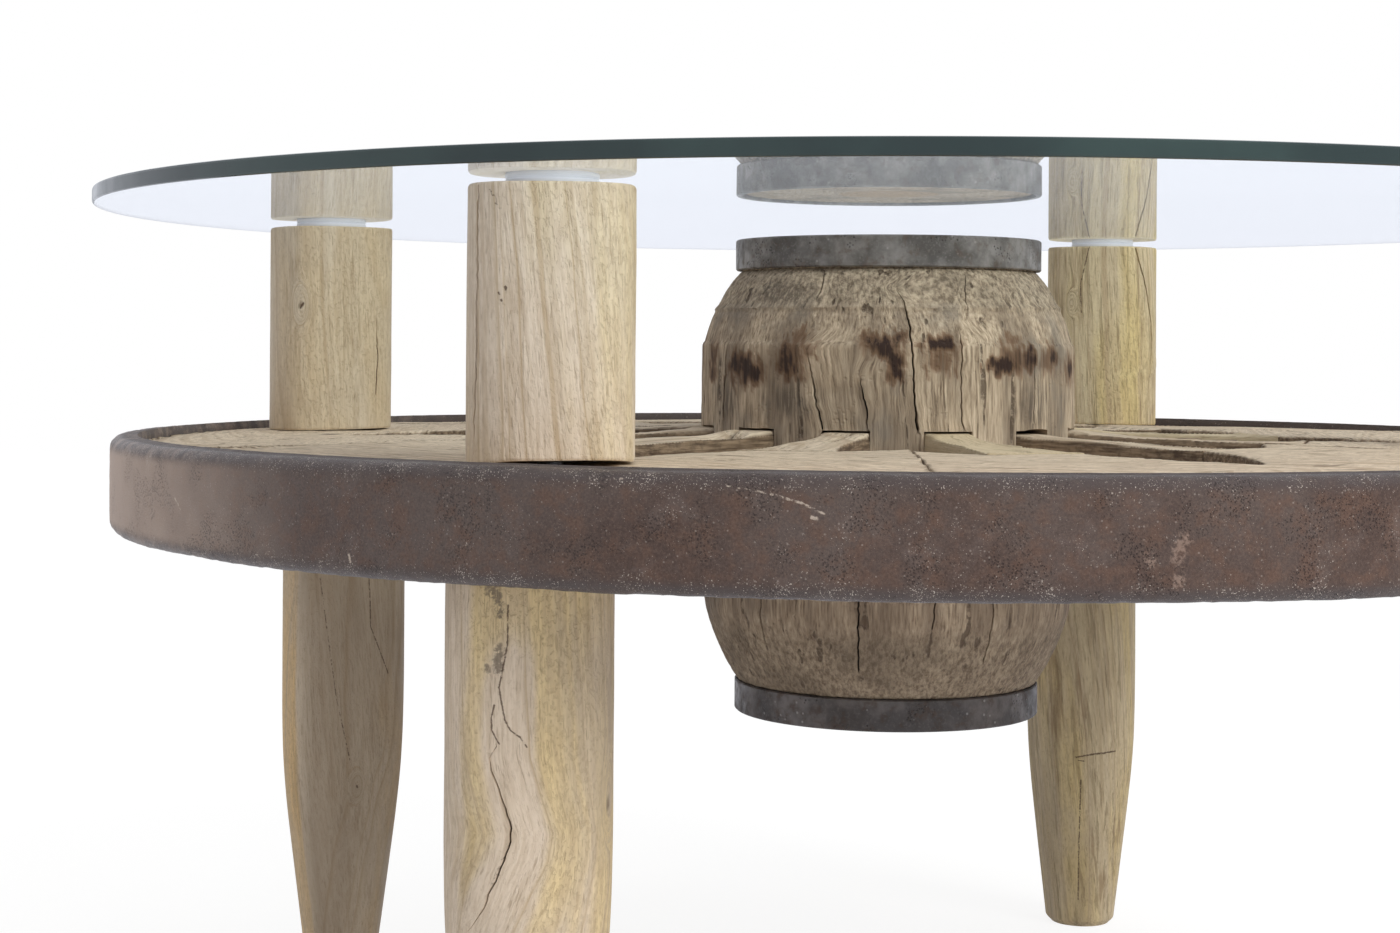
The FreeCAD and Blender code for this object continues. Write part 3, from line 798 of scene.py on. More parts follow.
wheel_middle = 0.33
spoke_dice = np.random.default_rng(5)
for number in range(12):
    angle = first_spoke + number * spoke_step
    spoke = timber_from("spoke_%d" % (number + 1), 0.0015, 6)
    spots = points_of(spoke)
    ways = facing(spoke)
    run, over = out_and_across(spots, angle)
    rough = lumps(rows_of(over * 60, spots[:, 2] * 60, run * 9), 3, number * 3.1)
    hollow = lumps(rows_of(over * 9, spots[:, 2] * 9, run * 9), 2, number * 5.3)
    top = ease(ways[:, 2], 0.5, 0.9) * ease(run, 0.112, 0.12) * (1 - ease(run, 0.224, 0.236))
    wear = 0.0002 + 0.0006 * np.abs(rough) + top * 0.0022 * np.clip(hollow + 0.35, 0, 1)
    outside_mortice = ease(run, 0.1, 0.112) * (1 - ease(run, 0.23, 0.236))
    spots = spots - ways * (wear * (0.2 + 0.8 * outside_mortice))[:, None]
    lifted = 0.0005 if number in (2, 5, 8) else 0.0014
    spots[:, 2] += lifted * ease(ways[:, 2], 0.5, 0.9) * (1 - ease(run, 0.115, 0.15))
    split_line = 0.006 * noise.noise((number * 2.7, 1.3, 0)) + 0.003 * wandering(run, 25, number * 1.7, 4.0)
    split = split_along(run, over - split_line, 0.0017, top, 12, number * 2.3, -0.05, 0.25)
    spots[:, 2] -= 0.003 * split
    hollow_end = np.zeros(len(spots))
    if number == 11:
        hollow_end = np.exp(-((run - 0.137) / 0.013) ** 2 - ((over - 0.004) / 0.008) ** 2) * top
        lip = np.exp(-((run - 0.122) / 0.006) ** 2 - ((over - 0.002) / 0.011) ** 2) * top
        spots[:, 2] += 0.003 * lip - 0.008 * hollow_end
    set_points(spoke, spots)
    run_now, over_now = out_and_across(spots, angle)
    pith = (spoke_dice.uniform(-0.03, 0.03), spoke_dice.uniform(0.02, 0.07))
    mark(spoke,
        grain=rows_of(over_now + pith[0], spots[:, 2] - wheel_middle + pith[1], run_now + number * 0.71),
        planed=planed_share(spots, ways, rough), split=split * 0.9,
        newer=np.full(len(spots), 1.0 if number in (1, 4) else 0.0), knot=0.8 * ease(hollow_end, 0.35, 0.9))
    spoke.data.materials.append(old_oak)
    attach(spoke, "table_base")
    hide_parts("spoke_%d" % (number + 1))


# Six felloes of the same oak make the rim. Each is sawn from a plank to a scalloped shape, so that
# the windows between the spokes end in points; loose tenons hide in the joints between them.
felloe_step = math.radians(60)
felloe_knots = [(-0.325, -0.018, 0.008), (-0.23, -0.305, 0.005), (0.25, -0.29, 0.006), (0.05, 0.385, 0.007)]
for number in range(6):
    angle = math.radians(-57) + number * felloe_step
    felloe = timber_from("felloe_%d" % (number + 1), 0.0019, 5)
    spots = points_of(felloe)
    ways = facing(felloe)
    radius = np.hypot(spots[:, 0], spots[:, 1])
    over, run = out_and_across(spots, angle)
    rough = lumps(rows_of(over * 60, spots[:, 2] * 60, run * 9), 3, 40 + number * 3.1)
    hollow = lumps(rows_of(over * 16, spots[:, 2] * 9, run * 7), 2, 40 + number * 5.3)
    top = ease(ways[:, 2], 0.5, 0.9)
    outer_wall = ease(radius, 0.4225, 0.4235)
    joint = 0.0003 / (0.002 + np.abs(np.abs(np.arctan2(run, over)) - math.radians(30)) * radius)
    wear = 0.0001 + 0.0005 * np.abs(rough) * (1 - ease(joint, 0.02, 0.06))
    wear += top * 0.0012 * np.clip(hollow + 0.3, 0, 1)
    wear += top * 0.0016 * ease(radius, 0.41, 0.422) * np.clip(rough + 0.5, 0, 1)
    spots = spots - ways * (wear * (1 - outer_wall))[:, None]
    waver = wandering(run, 9, number * 1.7, 4.0)
    split_line = 0.372 + 0.02 * noise.noise((number * 2.7, 3.3, 0)) + 0.006 * waver
    split = split_along(run, over - split_line, 0.002, top, 8, number * 2.3, 0.0, 0.3)
    spots[:, 2] -= 0.004 * split
    end_angle = np.abs(np.arctan2(run, over))
    from_end = (math.radians(30) - end_angle) * radius
    spots[:, 2] += 0.0011 * np.exp(-(from_end / 0.0017) ** 2) * ease(ways[:, 2], 0.05, 0.4)
    closing = np.sign(run) * 0.0006 * (1 - ease(from_end, 0.0, 0.003)) * np.where(outer_wall > 0, 0, 1)
    spots[:, 0] -= closing * math.sin(angle)
    spots[:, 1] += closing * math.cos(angle)
    set_points(felloe, spots)
    pith = (spoke_dice.uniform(-0.02, 0.03), spoke_dice.uniform(0.015, 0.05))
    lift = spots[:, 2] - wheel_middle + pith[1] + 0.2 * run
    grain = rows_of(over - 0.36 + pith[0], lift, run + 20 + number * 0.9)
    knotted = np.zeros(len(spots))
    for knot_x, knot_y, knot_size in felloe_knots:
        near = np.hypot((spots[:, 0] - knot_x), (spots[:, 1] - knot_y) * 0.7) / knot_size
        grain[:, 0] += 0.012 * np.exp(-near ** 2 / 5)
        knotted = np.maximum(knotted, top * (1 - ease(near, 0.3, 1.0)))
    mark(felloe, grain=grain, planed=planed_share(spots, ways, rough), split=split * 0.9,
        newer=np.zeros(len(spots)), knot=0.8 * knotted)
    felloe.data.materials.append(old_oak)
    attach(felloe, "table_base")
    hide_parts("felloe_%d" % (number + 1))

tenon_finish = new_finish("tenon oak")
place = placed(own_place(), rotation=(math.radians(90), 0, 0))
figure = figured(place, 0.004, 0.01, 0.8)
colour = blend(steps(figure["Fibres"], 0.35, 0.65), tint(150, 122, 90), tint(190, 165, 130))
surface(Base_Color=colour, Roughness=0.8, Normal=relief(figure["Fibres"], 0.5, 0.0006))
give_finish("felloe_tenons", tenon_finish)


# The tyre: one hoop of wrought iron, shrunk on hot round the felloes. Its outer edges are worn
# round by the road, and it has a fine brown rust, greyer along the edges, with pale specks of lime.
tyre_inner, tyre_outer, tyre_low, tyre_high, tyre_round = 0.4241, 0.44, 0.302, 0.3545, 0.007
tyre_flat = tyre_outer - tyre_round
section = [(tyre_inner, z) for z in np.linspace(tyre_high - 0.003, tyre_low + 0.003, 14)]
section += [(tyre_inner + 0.0008, tyre_low)]
section += [(r, tyre_low) for r in np.linspace(tyre_inner + 0.003, tyre_flat - 0.001, 4)]
for start, middle in ((-90, tyre_low + tyre_round), (0, tyre_high - tyre_round)):
    turns = np.radians(np.linspace(start, start + 90, 8))
    section += [(tyre_flat + tyre_round * math.cos(t), middle + tyre_round * math.sin(t)) for t in turns]
    if start < 0:
        straight = np.linspace(tyre_low + tyre_round + 0.002, tyre_high - tyre_round - 0.002, 17)
        section += [(tyre_outer, z) for z in straight]
section += [(r, tyre_high) for r in np.linspace(tyre_flat - 0.001, tyre_inner + 0.003, 4)]
section += [(tyre_inner + 0.0008, tyre_high)]
tyre = turn_on_lathe("worn_tyre", section, 720, 0.0)
spots = points_of(tyre)
radius = np.hypot(spots[:, 0], spots[:, 1])
round_angle = np.arctan2(spots[:, 1], spots[:, 0])
ways = facing(tyre)
outer_share = ease(radius, 0.4243, 0.4262)
dents = 0.0004 + 0.0007 * np.abs(lumps(spots, 2, 2.0, (7, 7, 9)))
dents += 0.00035 * np.abs(lumps(spots, 3, 9.0, (60, 60, 90)))
near_low = 1 - ease(spots[:, 2], tyre_low, tyre_low + 0.012)
edge_share = np.maximum(ease(spots[:, 2], tyre_high - 0.012, tyre_high), near_low)
dents += edge_share * 0.0007 * np.abs(lumps(spots, 3, 4.0, (110, 110, 60)))
spots = spots - ways * (dents * outer_share)[:, None]
set_points(tyre, spots)
mark(tyre, edge=edge_share * ease(radius, 0.426, 0.437), inside=1 - ease(radius, 0.4325, 0.4365))
lay_flat(tyre, round_angle, spots[:, 2], tyre_outer)
smooth_up_to(tyre, 60)

tyre_finish = new_finish("rusty tyre iron")
place = own_place()
age = aged(place, 9.0, 110.0, 900.0)
side_parts = shader("SeparateXYZ", {0: place}).outputs
colour = coats(
    tint(74, 56, 48),
    (steps(age["Patches"], 0.38, 0.62), 90, 77, 71),
    (steps(age["Dirt"], 0.42, 0.66, 0, 0.7), 98, 72, 58))
fine_rust = grainy(place, 900.0, 5.0, 0.8)
colour = coats(
    colour,
    (steps(fine_rust, 0.45, 0.7, 0, 0.35), 132, 112, 100),
    (steps(fine_rust, 0.48, 0.32, 0, 0.5), 50, 37, 32))
smudge = grainy(place, 60.0, 5.0, 0.7)
colour = blend(steps(smudge, 0.52, 0.68, 0, 0.35), colour, tint(112, 98, 92))
# painted sheen: the tyre is painted paler toward its left end, standing in for the glancing reflection of
# the white room there
left_end_sheen = plus(times(side_parts[0], -1.0), times(age["Patches"], 0.1))
colour = blend(steps(left_end_sheen, 0.305, 0.46, 0, 0.97), colour, tint(190, 168, 152))
inside = times(marked("inside"), steps(age["Dirt"], 0.3, 0.6, 0.6, 0.95))
colour = blend(inside, colour, tint(82, 74, 72))
edge_mark = marked("edge")
edge_grey = times(steps(edge_mark, 0.05, 0.8), steps(age["Dirt"], 0.3, 0.6, 0.35, 0.85))
colour = blend(edge_grey, colour, tint(73, 64, 62))
lime = grainy(place, 1500.0, 2.0, 0.6)
lime_share = plus(times(steps(edge_mark, 0.0, 0.45), 0.055), steps(smudge, 0.42, 0.68, -0.03, 0.05))
lime = steps(plus(lime, lime_share), 0.69, 0.735, 0, 0.8)
colour = coats(
    colour,
    (lime, 206, 194, 182),
    (times(age["Specks"], 0.28), 196, 184, 174))
flat = marked("flat", "Vector")
scratch = drawn(flat,
    [([(-98.4, 0.3483), (-97.3, 0.3473), (-96.0, 0.3455)], 0.0005, 0.85),
        ([(-96.0, 0.3455), (-94.4, 0.3421), (-93.2, 0.3379)], 0.0007, 0.6),
        ([(-93.8, 0.3366), (-93.6, 0.3360)], 0.0011, 0.4),
        ([(-121.8, 0.3137), (-121.6, 0.3099)], 0.0008, 0.4),
        ([(-104.6, 0.3502), (-104.0, 0.3502)], 0.0005, 0.8),
        ([(-61.0, 0.3170), (-60.4, 0.3120)], 0.0008, 0.7), ([(-140, 0.330), (-139.2, 0.325)], 0.0008, 0.7),
        ([(20, 0.320), (23, 0.326), (24, 0.329)], 0.0008, 0.8),
        ([(-30, 0.347), (-27, 0.342)], 0.0008, 0.8)], tyre_outer)
colour = blend(times(scratch, 0.8), colour, tint(202, 186, 170))
smear = drawn(flat,
    [([(-74.4, 0.3290), (-74.8, 0.3215)], 0.0042, 0.6), ([(-76.3, 0.3222), (-76.2, 0.319)], 0.003, 0.7),
        ([(-74.7, 0.3140), (-74.7, 0.3110)], 0.0034, 0.6)], tyre_outer)
colour = coats(
    colour,
    (times(smear, 0.6), 156, 132, 118),
    (times(age["Pits"], 0.5), 40, 30, 28))
pitted = minus(plus(times(age["Dirt"], 0.8), times(fine_rust, 0.45)), age["Pits"])
surface(Base_Color=colour, Metallic=0.1, Roughness=steps(edge_mark, 0.3, 1.0, 0.6, 0.42),
    Normal=relief(pitted, 0.8, 0.001))
tyre.data.materials.append(tyre_finish)
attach(tyre, "table_base")
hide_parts("iron_tyre")


# Four legs of recycled teak carry the wheel. Each is sawn square, shaped by hand to round corners
# and a tapered foot, sanded, and left without varnish; a stud through the rim holds each one.
legs = {"front_left": (-115.5, 8.0, (-0.24, 0.0), 1.055, 0.170, 0.022),
    "front_right": (-11.0, 20.0, (0.10, 0.05), 1.03, 0.170, 0.022),
    "rear_right": (64.5, -14.0, (-0.36, 0.0), 1.03, 0.1564, 0.0233),
    "rear_left": (169.0, 30.0, (0.26, 0.0), 1.0, 0.1785, 0.0189)}
leg_circle, leg_half, leg_top = 0.352, 0.0365, 0.306
post_foot, post_top = 0.35, 0.476
side_bend, corner_bend = 0.066, 0.024
leg_turns = 144


def section_radius(angle):
    """How far out the leg's side stands, at an angle round its own axis."""
    folded = np.abs((angle + math.pi / 4) % (math.pi / 2) - math.pi / 4)
    apart = side_bend - corner_bend
    spread = math.pi / 4 - math.asin((side_bend - leg_half) / (math.sqrt(2) * apart))
    corner_at = apart * math.sin(spread) * math.sqrt(2)
    side_offset = leg_half - side_bend
    on_side = side_offset * np.cos(folded) + np.sqrt(side_bend ** 2 - (side_offset * np.sin(folded)) ** 2)
    on_corner = corner_at * np.cos(math.pi / 4 - folded) + np.sqrt(
        corner_bend ** 2 - (corner_at * np.sin(math.pi / 4 - folded)) ** 2)
    bend_meets = math.atan2(side_bend * math.sin(spread), side_bend * math.cos(spread) + side_offset)
    return np.where(folded < bend_meets, on_side, on_corner)


def leg_blank(name, rings):
    """A tall cylinder with even rings, one unit high, to be shaped into a leg or a post."""
    deselect()
    bpy.ops.mesh.primitive_cylinder_add(vertices=leg_turns, radius=1, depth=1, location=(0, 0, 0.5))
    blank = bpy.context.object
    blank.name = name
    bpy.ops.object.transform_apply(location=True, rotation=True, scale=True)
    bpy.ops.object.mode_set(mode="EDIT")
    bpy.ops.mesh.select_mode(type="FACE")
    bpy.ops.mesh.select_all(action="DESELECT")
    skin = bmesh.from_edit_mesh(blank.data)
    for face in skin.faces:
        face.select = abs(face.normal.z) > 0.9
    skin.select_flush(True)
    bmesh.update_edit_mesh(blank.data)
    for share in (0.12, 0.3, 0.4):
        bpy.ops.mesh.inset(thickness=share, use_relative_offset=False)
    bpy.ops.mesh.select_mode(type="EDGE")
    bpy.ops.mesh.select_all(action="DESELECT")
    skin = bmesh.from_edit_mesh(blank.data)
    for edge in skin.edges:
        edge.select = abs(edge.verts[0].co.z - edge.verts[1].co.z) > 0.9
    skin.select_flush(False)
    bmesh.update_edit_mesh(blank.data)
    bpy.ops.mesh.subdivide_edgering(number_cuts=rings, interpolation="LINEAR")
    bpy.ops.object.mode_set(mode="OBJECT")
    return blank


def leg_stands(name):
    angle, turn, shift = legs[name][:3]
    return (leg_circle * math.cos(math.radians(angle)), leg_circle * math.sin(math.radians(angle)),
        math.radians(turn), shift[0] * leg_half, shift[1] * leg_half)


def shape_leg(blank, middle, name, turn, bottom, top, foot, seed, splits, knots):
    """Shapes a blank's points into one leg or post of the wheel, with its splits, and works out its grain.
    """
    girth, taper_top, foot_radius = legs[name][3:]
    spots = points_of(blank)
    angle = np.arctan2(spots[:, 1], spots[:, 0])
    share = np.hypot(spots[:, 0], spots[:, 1])
    height = spots[:, 2] - 0.11 * np.sin(spots[:, 2] * 2 * math.pi)
    level = bottom + height * (top - bottom)
    reach = section_radius(angle) * girth
    if foot:
        taper = foot_radius + (0.042 - foot_radius) / taper_top * level
        sharp = 0.0016
        reach = -sharp * np.log(np.exp(-reach / sharp) + np.exp(-taper / sharp))
        reach -= 0.0035 * (1 - ease(level, -0.001, 0.0045))
    rim = np.minimum(level - bottom, top - level)
    if not foot:
        reach = reach - 0.0005 * (1 - ease(rim, 0.0, 0.0011))
    wavy = lumps(rows_of(np.cos(angle) * 1.1, np.sin(angle) * 1.1, level * 7), 2, seed)
    planes = lumps(rows_of(np.cos(angle) * 3, np.sin(angle) * 3, level * 16), 2, seed + 9)
    reach = reach - 0.0001 - 0.0004 * np.abs(wavy) - 0.0002 * np.abs(planes)
    home = wrap(angle + turn)
    world_angle = home.copy()
    deepest = np.zeros(len(spots))
    dark = np.zeros(len(spots))
    for order, split in enumerate(splits):
        radius_at = np.where(share > 0.98, reach, 0.0)
        chosen, deep, shade = open_split(home, 2 * math.pi / leg_turns, world_angle, level, radius_at,
            split, seed + order * 5.1)
        deepest[chosen] += deep
        dark[chosen] = np.maximum(dark[chosen], shade)
    out = (reach - deepest) * share
    shaped = rows_of(middle[0] + out * np.cos(world_angle), middle[1] + out * np.sin(world_angle), level)
    dice = np.random.default_rng(int(seed * 10))
    pith_angle, pith_far, lean = dice.uniform(0, 6.28), dice.uniform(0.012, 0.045), dice.uniform(0.03, 0.12)
    leaning = lean * (level - bottom)
    grain = rows_of(out * np.cos(world_angle) + pith_far * math.cos(pith_angle) + leaning,
        out * np.sin(world_angle) + pith_far * math.sin(pith_angle) + 0.4 * leaning, level + seed)
    if foot and name == "front_left":
        sway = np.interp(level, [0.0, 0.1451, 0.1563, 0.1677, 0.179, 0.19, 0.2062, 0.2246, 0.26, 0.306],
            [-0.03, -0.0125, -0.0075, -0.0034, 0.0017, 0.0046, 0.0003, -0.0033, -0.003, -0.001])
        sway = sway * (1 - 0.5 * ease(np.abs(wrap(world_angle + math.radians(100))), 0.25, 0.9))
        grain[:, 0] -= 0.985 * sway
        grain[:, 1] += 0.174 * sway
    heart = np.zeros(len(spots))
    for knot_angle, knot_level, knot_size in knots:
        off = wrap(world_angle - math.radians(knot_angle)) * out
        near = np.hypot(off, (level - knot_level) * 0.45)
        grain[:, :2] *= (1 + 0.5 * np.exp(-(near / knot_size) ** 2))[:, None]
        from_heart = np.hypot(off, level - knot_level) / knot_size
        heart = np.maximum(heart, 1 - ease(from_heart, 0.15, 0.5))
    return shaped, grain, dark, heart, world_angle


def leg_finish(name, lines, blots, streaky, pinker, yellower):
    """Bare teak, sanded but not varnished, with the hair cracks, holes and blots of one piece."""
    finish = new_finish(name)
    place = marked("grain", "Vector")
    flat = marked("flat", "Vector")
    figure = figured(place, 0.0046, 0.02, 1.1)
    age = aged(place, 9.0, 130.0, 500.0)
    heartwood = minus(grainy(place, 30.0, 3.0, 0.55, (1, 1, 0.12)), marked("pale"))
    colour = blend(steps(heartwood, 0.42, 0.6), pinker, yellower)
    uneven = steps(figure["Year tone"], 0.38, 0.62, 0.25, 1.0)
    rings = times(figure["Rings"], uneven)
    colour = coats(
        colour,
        (steps(rings, 0.05, 0.95, 0, 0.38), 188, 160, 120),
        (steps(rings, 0.7, 0.95, 0, 0.3), 158, 122, 76),
        (steps(figure["Year tone"], 0.4, 0.65, 0, 0.4), 206, 188, 162),
        (steps(figure["Fibres"], 0.38, 0.6, 0.3, 0), 172, 146, 114),
        (steps(age["Patches"], 0.46, 0.7, 0, 0.4), 200, 184, 164))
    streaks = steps(grainy(place, 110.0, 4.0, 0.65, (1, 1, 0.07)), 0.44, 0.34)
    colour = coats(
        colour,
        (times(streaks, 0.25 + 0.45 * streaky), 146, 118, 82),
        (times(figure["Pores"], 0.35), 140, 112, 80))
    ripple = grainy(place, 620.0, 3.0, 0.6, (1, 1, 0.55))
    dashes = times(steps(ripple, 0.5, 0.36), steps(heartwood, 0.4, 0.58, 0.35, 1.0))
    colour = blend(times(dashes, 0.2), colour, tint(160, 136, 106))
    grooves = grainy(place, 300.0, 4.0, 0.7, (1, 1, 0.045))
    grooves = times(steps(grooves, 0.46, 0.38), streaky)
    colour = blend(times(grooves, 0.55), colour, tint(122, 98, 62))
    # painted shade and weathering: the lower legs darken where the wheel shades them, and in random
    # blotches
    weather = marked("weather")
    colour = coats(
        colour,
        (weather, 132, 112, 91),
        (marked("knot"), 96, 72, 52))
    if blots:
        blotted = drawn(flat, blots, leg_half)
        colour = blend(times(blotted, 0.8), colour, tint(122, 108, 92))
    marks = drawn(flat, lines, leg_half)
    # hair cracks and holes are drawn darker; the split mark paints shade along the bottom of each split
    colour = coats(
        colour,
        (times(marks, 0.85), 88, 66, 48),
        (steps(marked("split"), 0.2, 0.85), 80, 56, 40))
    teak_height = figure["Fibres"]
    for hollow, depth in ((figure["Pores"], 0.8), (dashes, 1.2), (streaks, 0.4 + streaky), (grooves, 2.0),
            (marks, 2.0)):
        teak_height = minus(teak_height, times(hollow, depth))
    surface(Base_Color=colour, Roughness=0.66, Normal=relief(teak_height, 0.5, 0.0008))
    return finish


fine_marks = {"lower_leg_front_left": [([(-95.8, 0.2905), (-96.0, 0.273), (-101.2, 0.2542), (-97.3, 0.2402),
                (-93.9, 0.2359), (-87.3, 0.2327)], 0.0005, 0.2),
        ([(-87.3, 0.2327), (-82.7, 0.2284)], 0.0004, 0.5),
        ([(-104.3, 0.2465), (-106.0, 0.2409), (-105.6, 0.2355), (-100.9, 0.2297)], 0.0005, 0.0)],
    "lower_leg_rear_left": [
        ([(-56.0, 0.302), (-50.9, 0.2495), (-50.0, 0.232), (-31.1, 0.2026)], 0.0005, 0.2),
        ([(-98.0, 0.262), (-82.4, 0.1881), (-69.6, 0.1515)], 0.0004, 0.6),
        ([(-61.9, 0.1352), (-61.5, 0.1346)], 0.0011, 0.0)],
    "lower_leg_rear_right": [([(-100.0, 0.1210), (-79.3, 0.1238), (-55.6, 0.1252)], 0.0008, 0.0),
        ([(-97.0, 0.119), (-91.0, 0.1185)], 0.0007, 0.3),
        ([(-94, 0.105), (-96, 0.06), (-97, 0.02)], 0.0007, 0.2)],
    "upper_post_front_left": [([(-111.6, 0.4296), (-111.4, 0.4284)], 0.0008, 0.0),
        ([(-116.2, 0.4269), (-116.0, 0.4264)], 0.0007, 0.0),
        ([(-114.6, 0.4240), (-114.2, 0.4234)], 0.0006, 0.0),
        ([(-123.6, 0.4723), (-118.8, 0.4682)], 0.0006, 1.0),
        ([(-119.0, 0.4662), (-115.5, 0.4640)], 0.0006, 1.0)],
    "upper_post_rear_right": [([(-109, 0.4755), (-118, 0.4505), (-117, 0.43)], 0.0005, 0.3)],
    "upper_post_rear_left": [([(-104.5, 0.4262), (-102.0, 0.4288)], 0.0009, 0.1)]}
blots = {"lower_leg_front_left": [([(-107.5, 0.301), (-105.5, 0.2955)], 0.0042, 0.1),
        ([(-102.5, 0.2960), (-100.9, 0.2860)], 0.0022, 0.3),
        ([(-101.2, 0.2715), (-101.9, 0.2620)], 0.0028, 0.15),
        ([(-108.8, 0.2635), (-108.4, 0.2622)], 0.0018, 0.05),
        ([(-95.0, 0.1860), (-97.0, 0.1790), (-104.0, 0.1690)], 0.0012, 0.9)]}
leg_tones = {"lower_leg_front_left": (0.0, tint(229, 211, 190), tint(232, 208, 160)),
    "lower_leg_rear_left": (0.1, tint(222, 205, 182), tint(228, 194, 142)),
    "front_left": (0.0, tint(231, 215, 196), tint(228, 210, 176)),
    "front_right": (0.4, tint(224, 206, 178), tint(220, 196, 150)),
    "rear_right": (0.7, tint(227, 210, 174), tint(224, 202, 148)),
    "rear_left": (0.1, tint(222, 207, 184), tint(220, 200, 168))}

lower_splits = {"front_left": [([(-104.9, 0.2246), (-105.4, 0.218), (-99.6, 0.2062), (-93.4, 0.1955),
                (-92.7, 0.1879), (-97.5, 0.179), (-105.1, 0.1677), (-112.4, 0.1563), (-126.1, 0.1451)],
            0.0005, 0.0035), ([(-100.9, 0.2297), (-103.4, 0.2262), (-104.2, 0.2256)], 0.0003, 0.0014)],
    "front_right": [([(-60, 0.28), (-63, 0.2), (-61, 0.14)], 0.0005, 0.003)],
    "rear_right": [([(20, 0.27), (24, 0.2), (22, 0.12)], 0.0005, 0.003)],
    "rear_left": [([(120, 0.27), (124, 0.2), (122, 0.12)], 0.0005, 0.003)]}
upper_splits = {"front_left": [([(-135.6, 0.4755), (-136.2, 0.458), (-135.7, 0.44), (-136.8, 0.42),
                (-136.2, 0.40), (-137.6, 0.375), (-138.0, 0.354)], 0.0009, 0.0028)],
    "front_right": [([(170, 0.474), (172, 0.42), (169, 0.38)], 0.0005, 0.003)],
    "rear_right": [([(-62, 0.4755), (-47, 0.446), (-39, 0.42), (-36, 0.392)], 0.0006, 0.003)],
    "rear_left": [([(120, 0.474), (118, 0.42)], 0.0005, 0.003),
        ([(-30, 0.37), (-28, 0.395), (-31, 0.42)], 0.0003, 0.0006)]}
upper_knots = {"rear_left": [(-103.5, 0.4274, 0.005)], "rear_right": [(-128, 0.436, 0.003)],
    "front_right": [(60, 0.40, 0.006)]}
lower_knots = {"front_left": [(-20, 0.2, 0.007)], "front_right": [(150, 0.15, 0.007)],
    "rear_left": [(-61.7, 0.1349, 0.003)]}

lower_blank = leg_blank("lower blank", 170)
upper_blank = leg_blank("upper blank", 80)
crown_fall = 0.007 / (0.424 - belt_radius)
# for each leg: how strong the painted shade and weathering on its lower leg are, and how much of that is
# smooth painted shade rather than random blotches
leg_weather = {"rear_left": (0.66, 0.8), "rear_right": (0.3, 0.2), "front_left": (0.0, 0.0),
    "front_right": (0.3, 0.2)}
crack_line = ([0.145, 0.156, 0.168, 0.179, 0.19, 0.206, 0.225, 0.26],
    [-126, -112, -105, -97, -93, -98, -102, -100])
for order, name in enumerate(legs):
    x, y, turn, shift_x, shift_y = leg_stands(name)
    for kind, blank in (("lower_leg", lower_blank), ("upper_post", upper_blank)):
        node = "%s_%s" % (kind, name)
        piece = bpy.data.objects.new("teak_" + node, blank.data.copy())
        bpy.context.scene.collection.objects.link(piece)
        if kind == "lower_leg":
            shaped, grain, dark, heart, round_angle = shape_leg(piece, (x + shift_x, y + shift_y), name,
                turn, 0.0, leg_top, True, 2.0 + order * 3.7, lower_splits[name], lower_knots.get(name, []))
        else:
            shaped, grain, dark, heart, round_angle = shape_leg(piece, (x, y), name, turn, post_foot,
                post_top, False, 15.0 + order * 2.9, upper_splits[name], upper_knots.get(name, []))
            felloe_middle = math.radians(-87 + (math.floor((legs[name][0] + 87) / 60) + 0.5) * 60)
            inward = shaped[:, 0] * math.cos(felloe_middle) + shaped[:, 1] * math.sin(felloe_middle)
            seat = 0.357 - crown_fall * (inward - belt_radius) + 0.0001
            share_up = (shaped[:, 2] - post_foot) / 0.126
            shaped[:, 2] = seat + share_up * (post_top - seat)
            if name == "front_left":
                near_front = ease(-shaped[:, 1] - 0.3177, 0.0, 0.036)
                lifted = 0.0026 * near_front * ease(shaped[:, 0], -0.188, -0.160)
                shaped[:, 2] += lifted * (1 - ease(share_up, 0.0, 0.3))
        set_points(piece, shaped)
        level = shaped[:, 2]
        weather, pale = np.zeros(len(shaped)), np.zeros(len(shaped))
        lay_flat(piece, round_angle, level, leg_half)
        mark(piece, grain=grain, split=dark, knot=heart * 0.8)
        if kind == "lower_leg":
            # painted shade and weathering: a smooth darkening over the leg's front and right, fading toward
            # its back and leaving its left side light, is painted shade under the wheel; the rest is random
            # weather blotches
            smoke = lumps(rows_of(round_angle * 2.2, level * 6, level * 0), 2, order * 4.1)
            from_front = wrap(round_angle + math.radians(90))
            off_back = 1 - ease(round_angle, 0.5, 1.2)
            strength, even = leg_weather[name]
            shaded = ease(from_front, -0.75, -0.2) * off_back
            weather = strength * (even * shaded + (1 - even) * ease(smoke + 0.25, 0.0, 0.6))
        if node == "lower_leg_front_left":
            beside = np.abs(wrap(round_angle - np.radians(np.interp(level, *crack_line) + 4)))
            below_top = 1 - ease(level, 0.245, 0.285)
            pale = 0.2 * (1 - ease(beside, 0.15, 0.45)) * ease(level, 0.10, 0.16) * below_top
            pale += 0.12 * (1 - ease(round_angle, -2.3, -2.0)) - 0.06 * ease(round_angle, -1.6, -1.2)
        if node == "lower_leg_rear_left":
            pale = 0.1 - 0.35 * (1 - ease(from_front, -0.8, -0.45)) * off_back
            # this leg's painted shade eases off a little toward its right side
            weather *= 1 - 0.3 * ease(round_angle, -1.3, -0.8)
        if node == "lower_leg_rear_right":
            # this leg's painted shade fades out toward its right side
            weather *= 1 - ease(round_angle, -1.7, -0.9)
        mark(piece, weather=weather, pale=pale)
        tones = leg_tones.get(node, leg_tones[name])
        piece.data.materials.append(
            leg_finish("teak of " + piece.name, fine_marks.get(node, []), blots.get(node, []), *tones))
        smooth_up_to(piece, 42)
        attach(piece, "table_base")
        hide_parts(node)
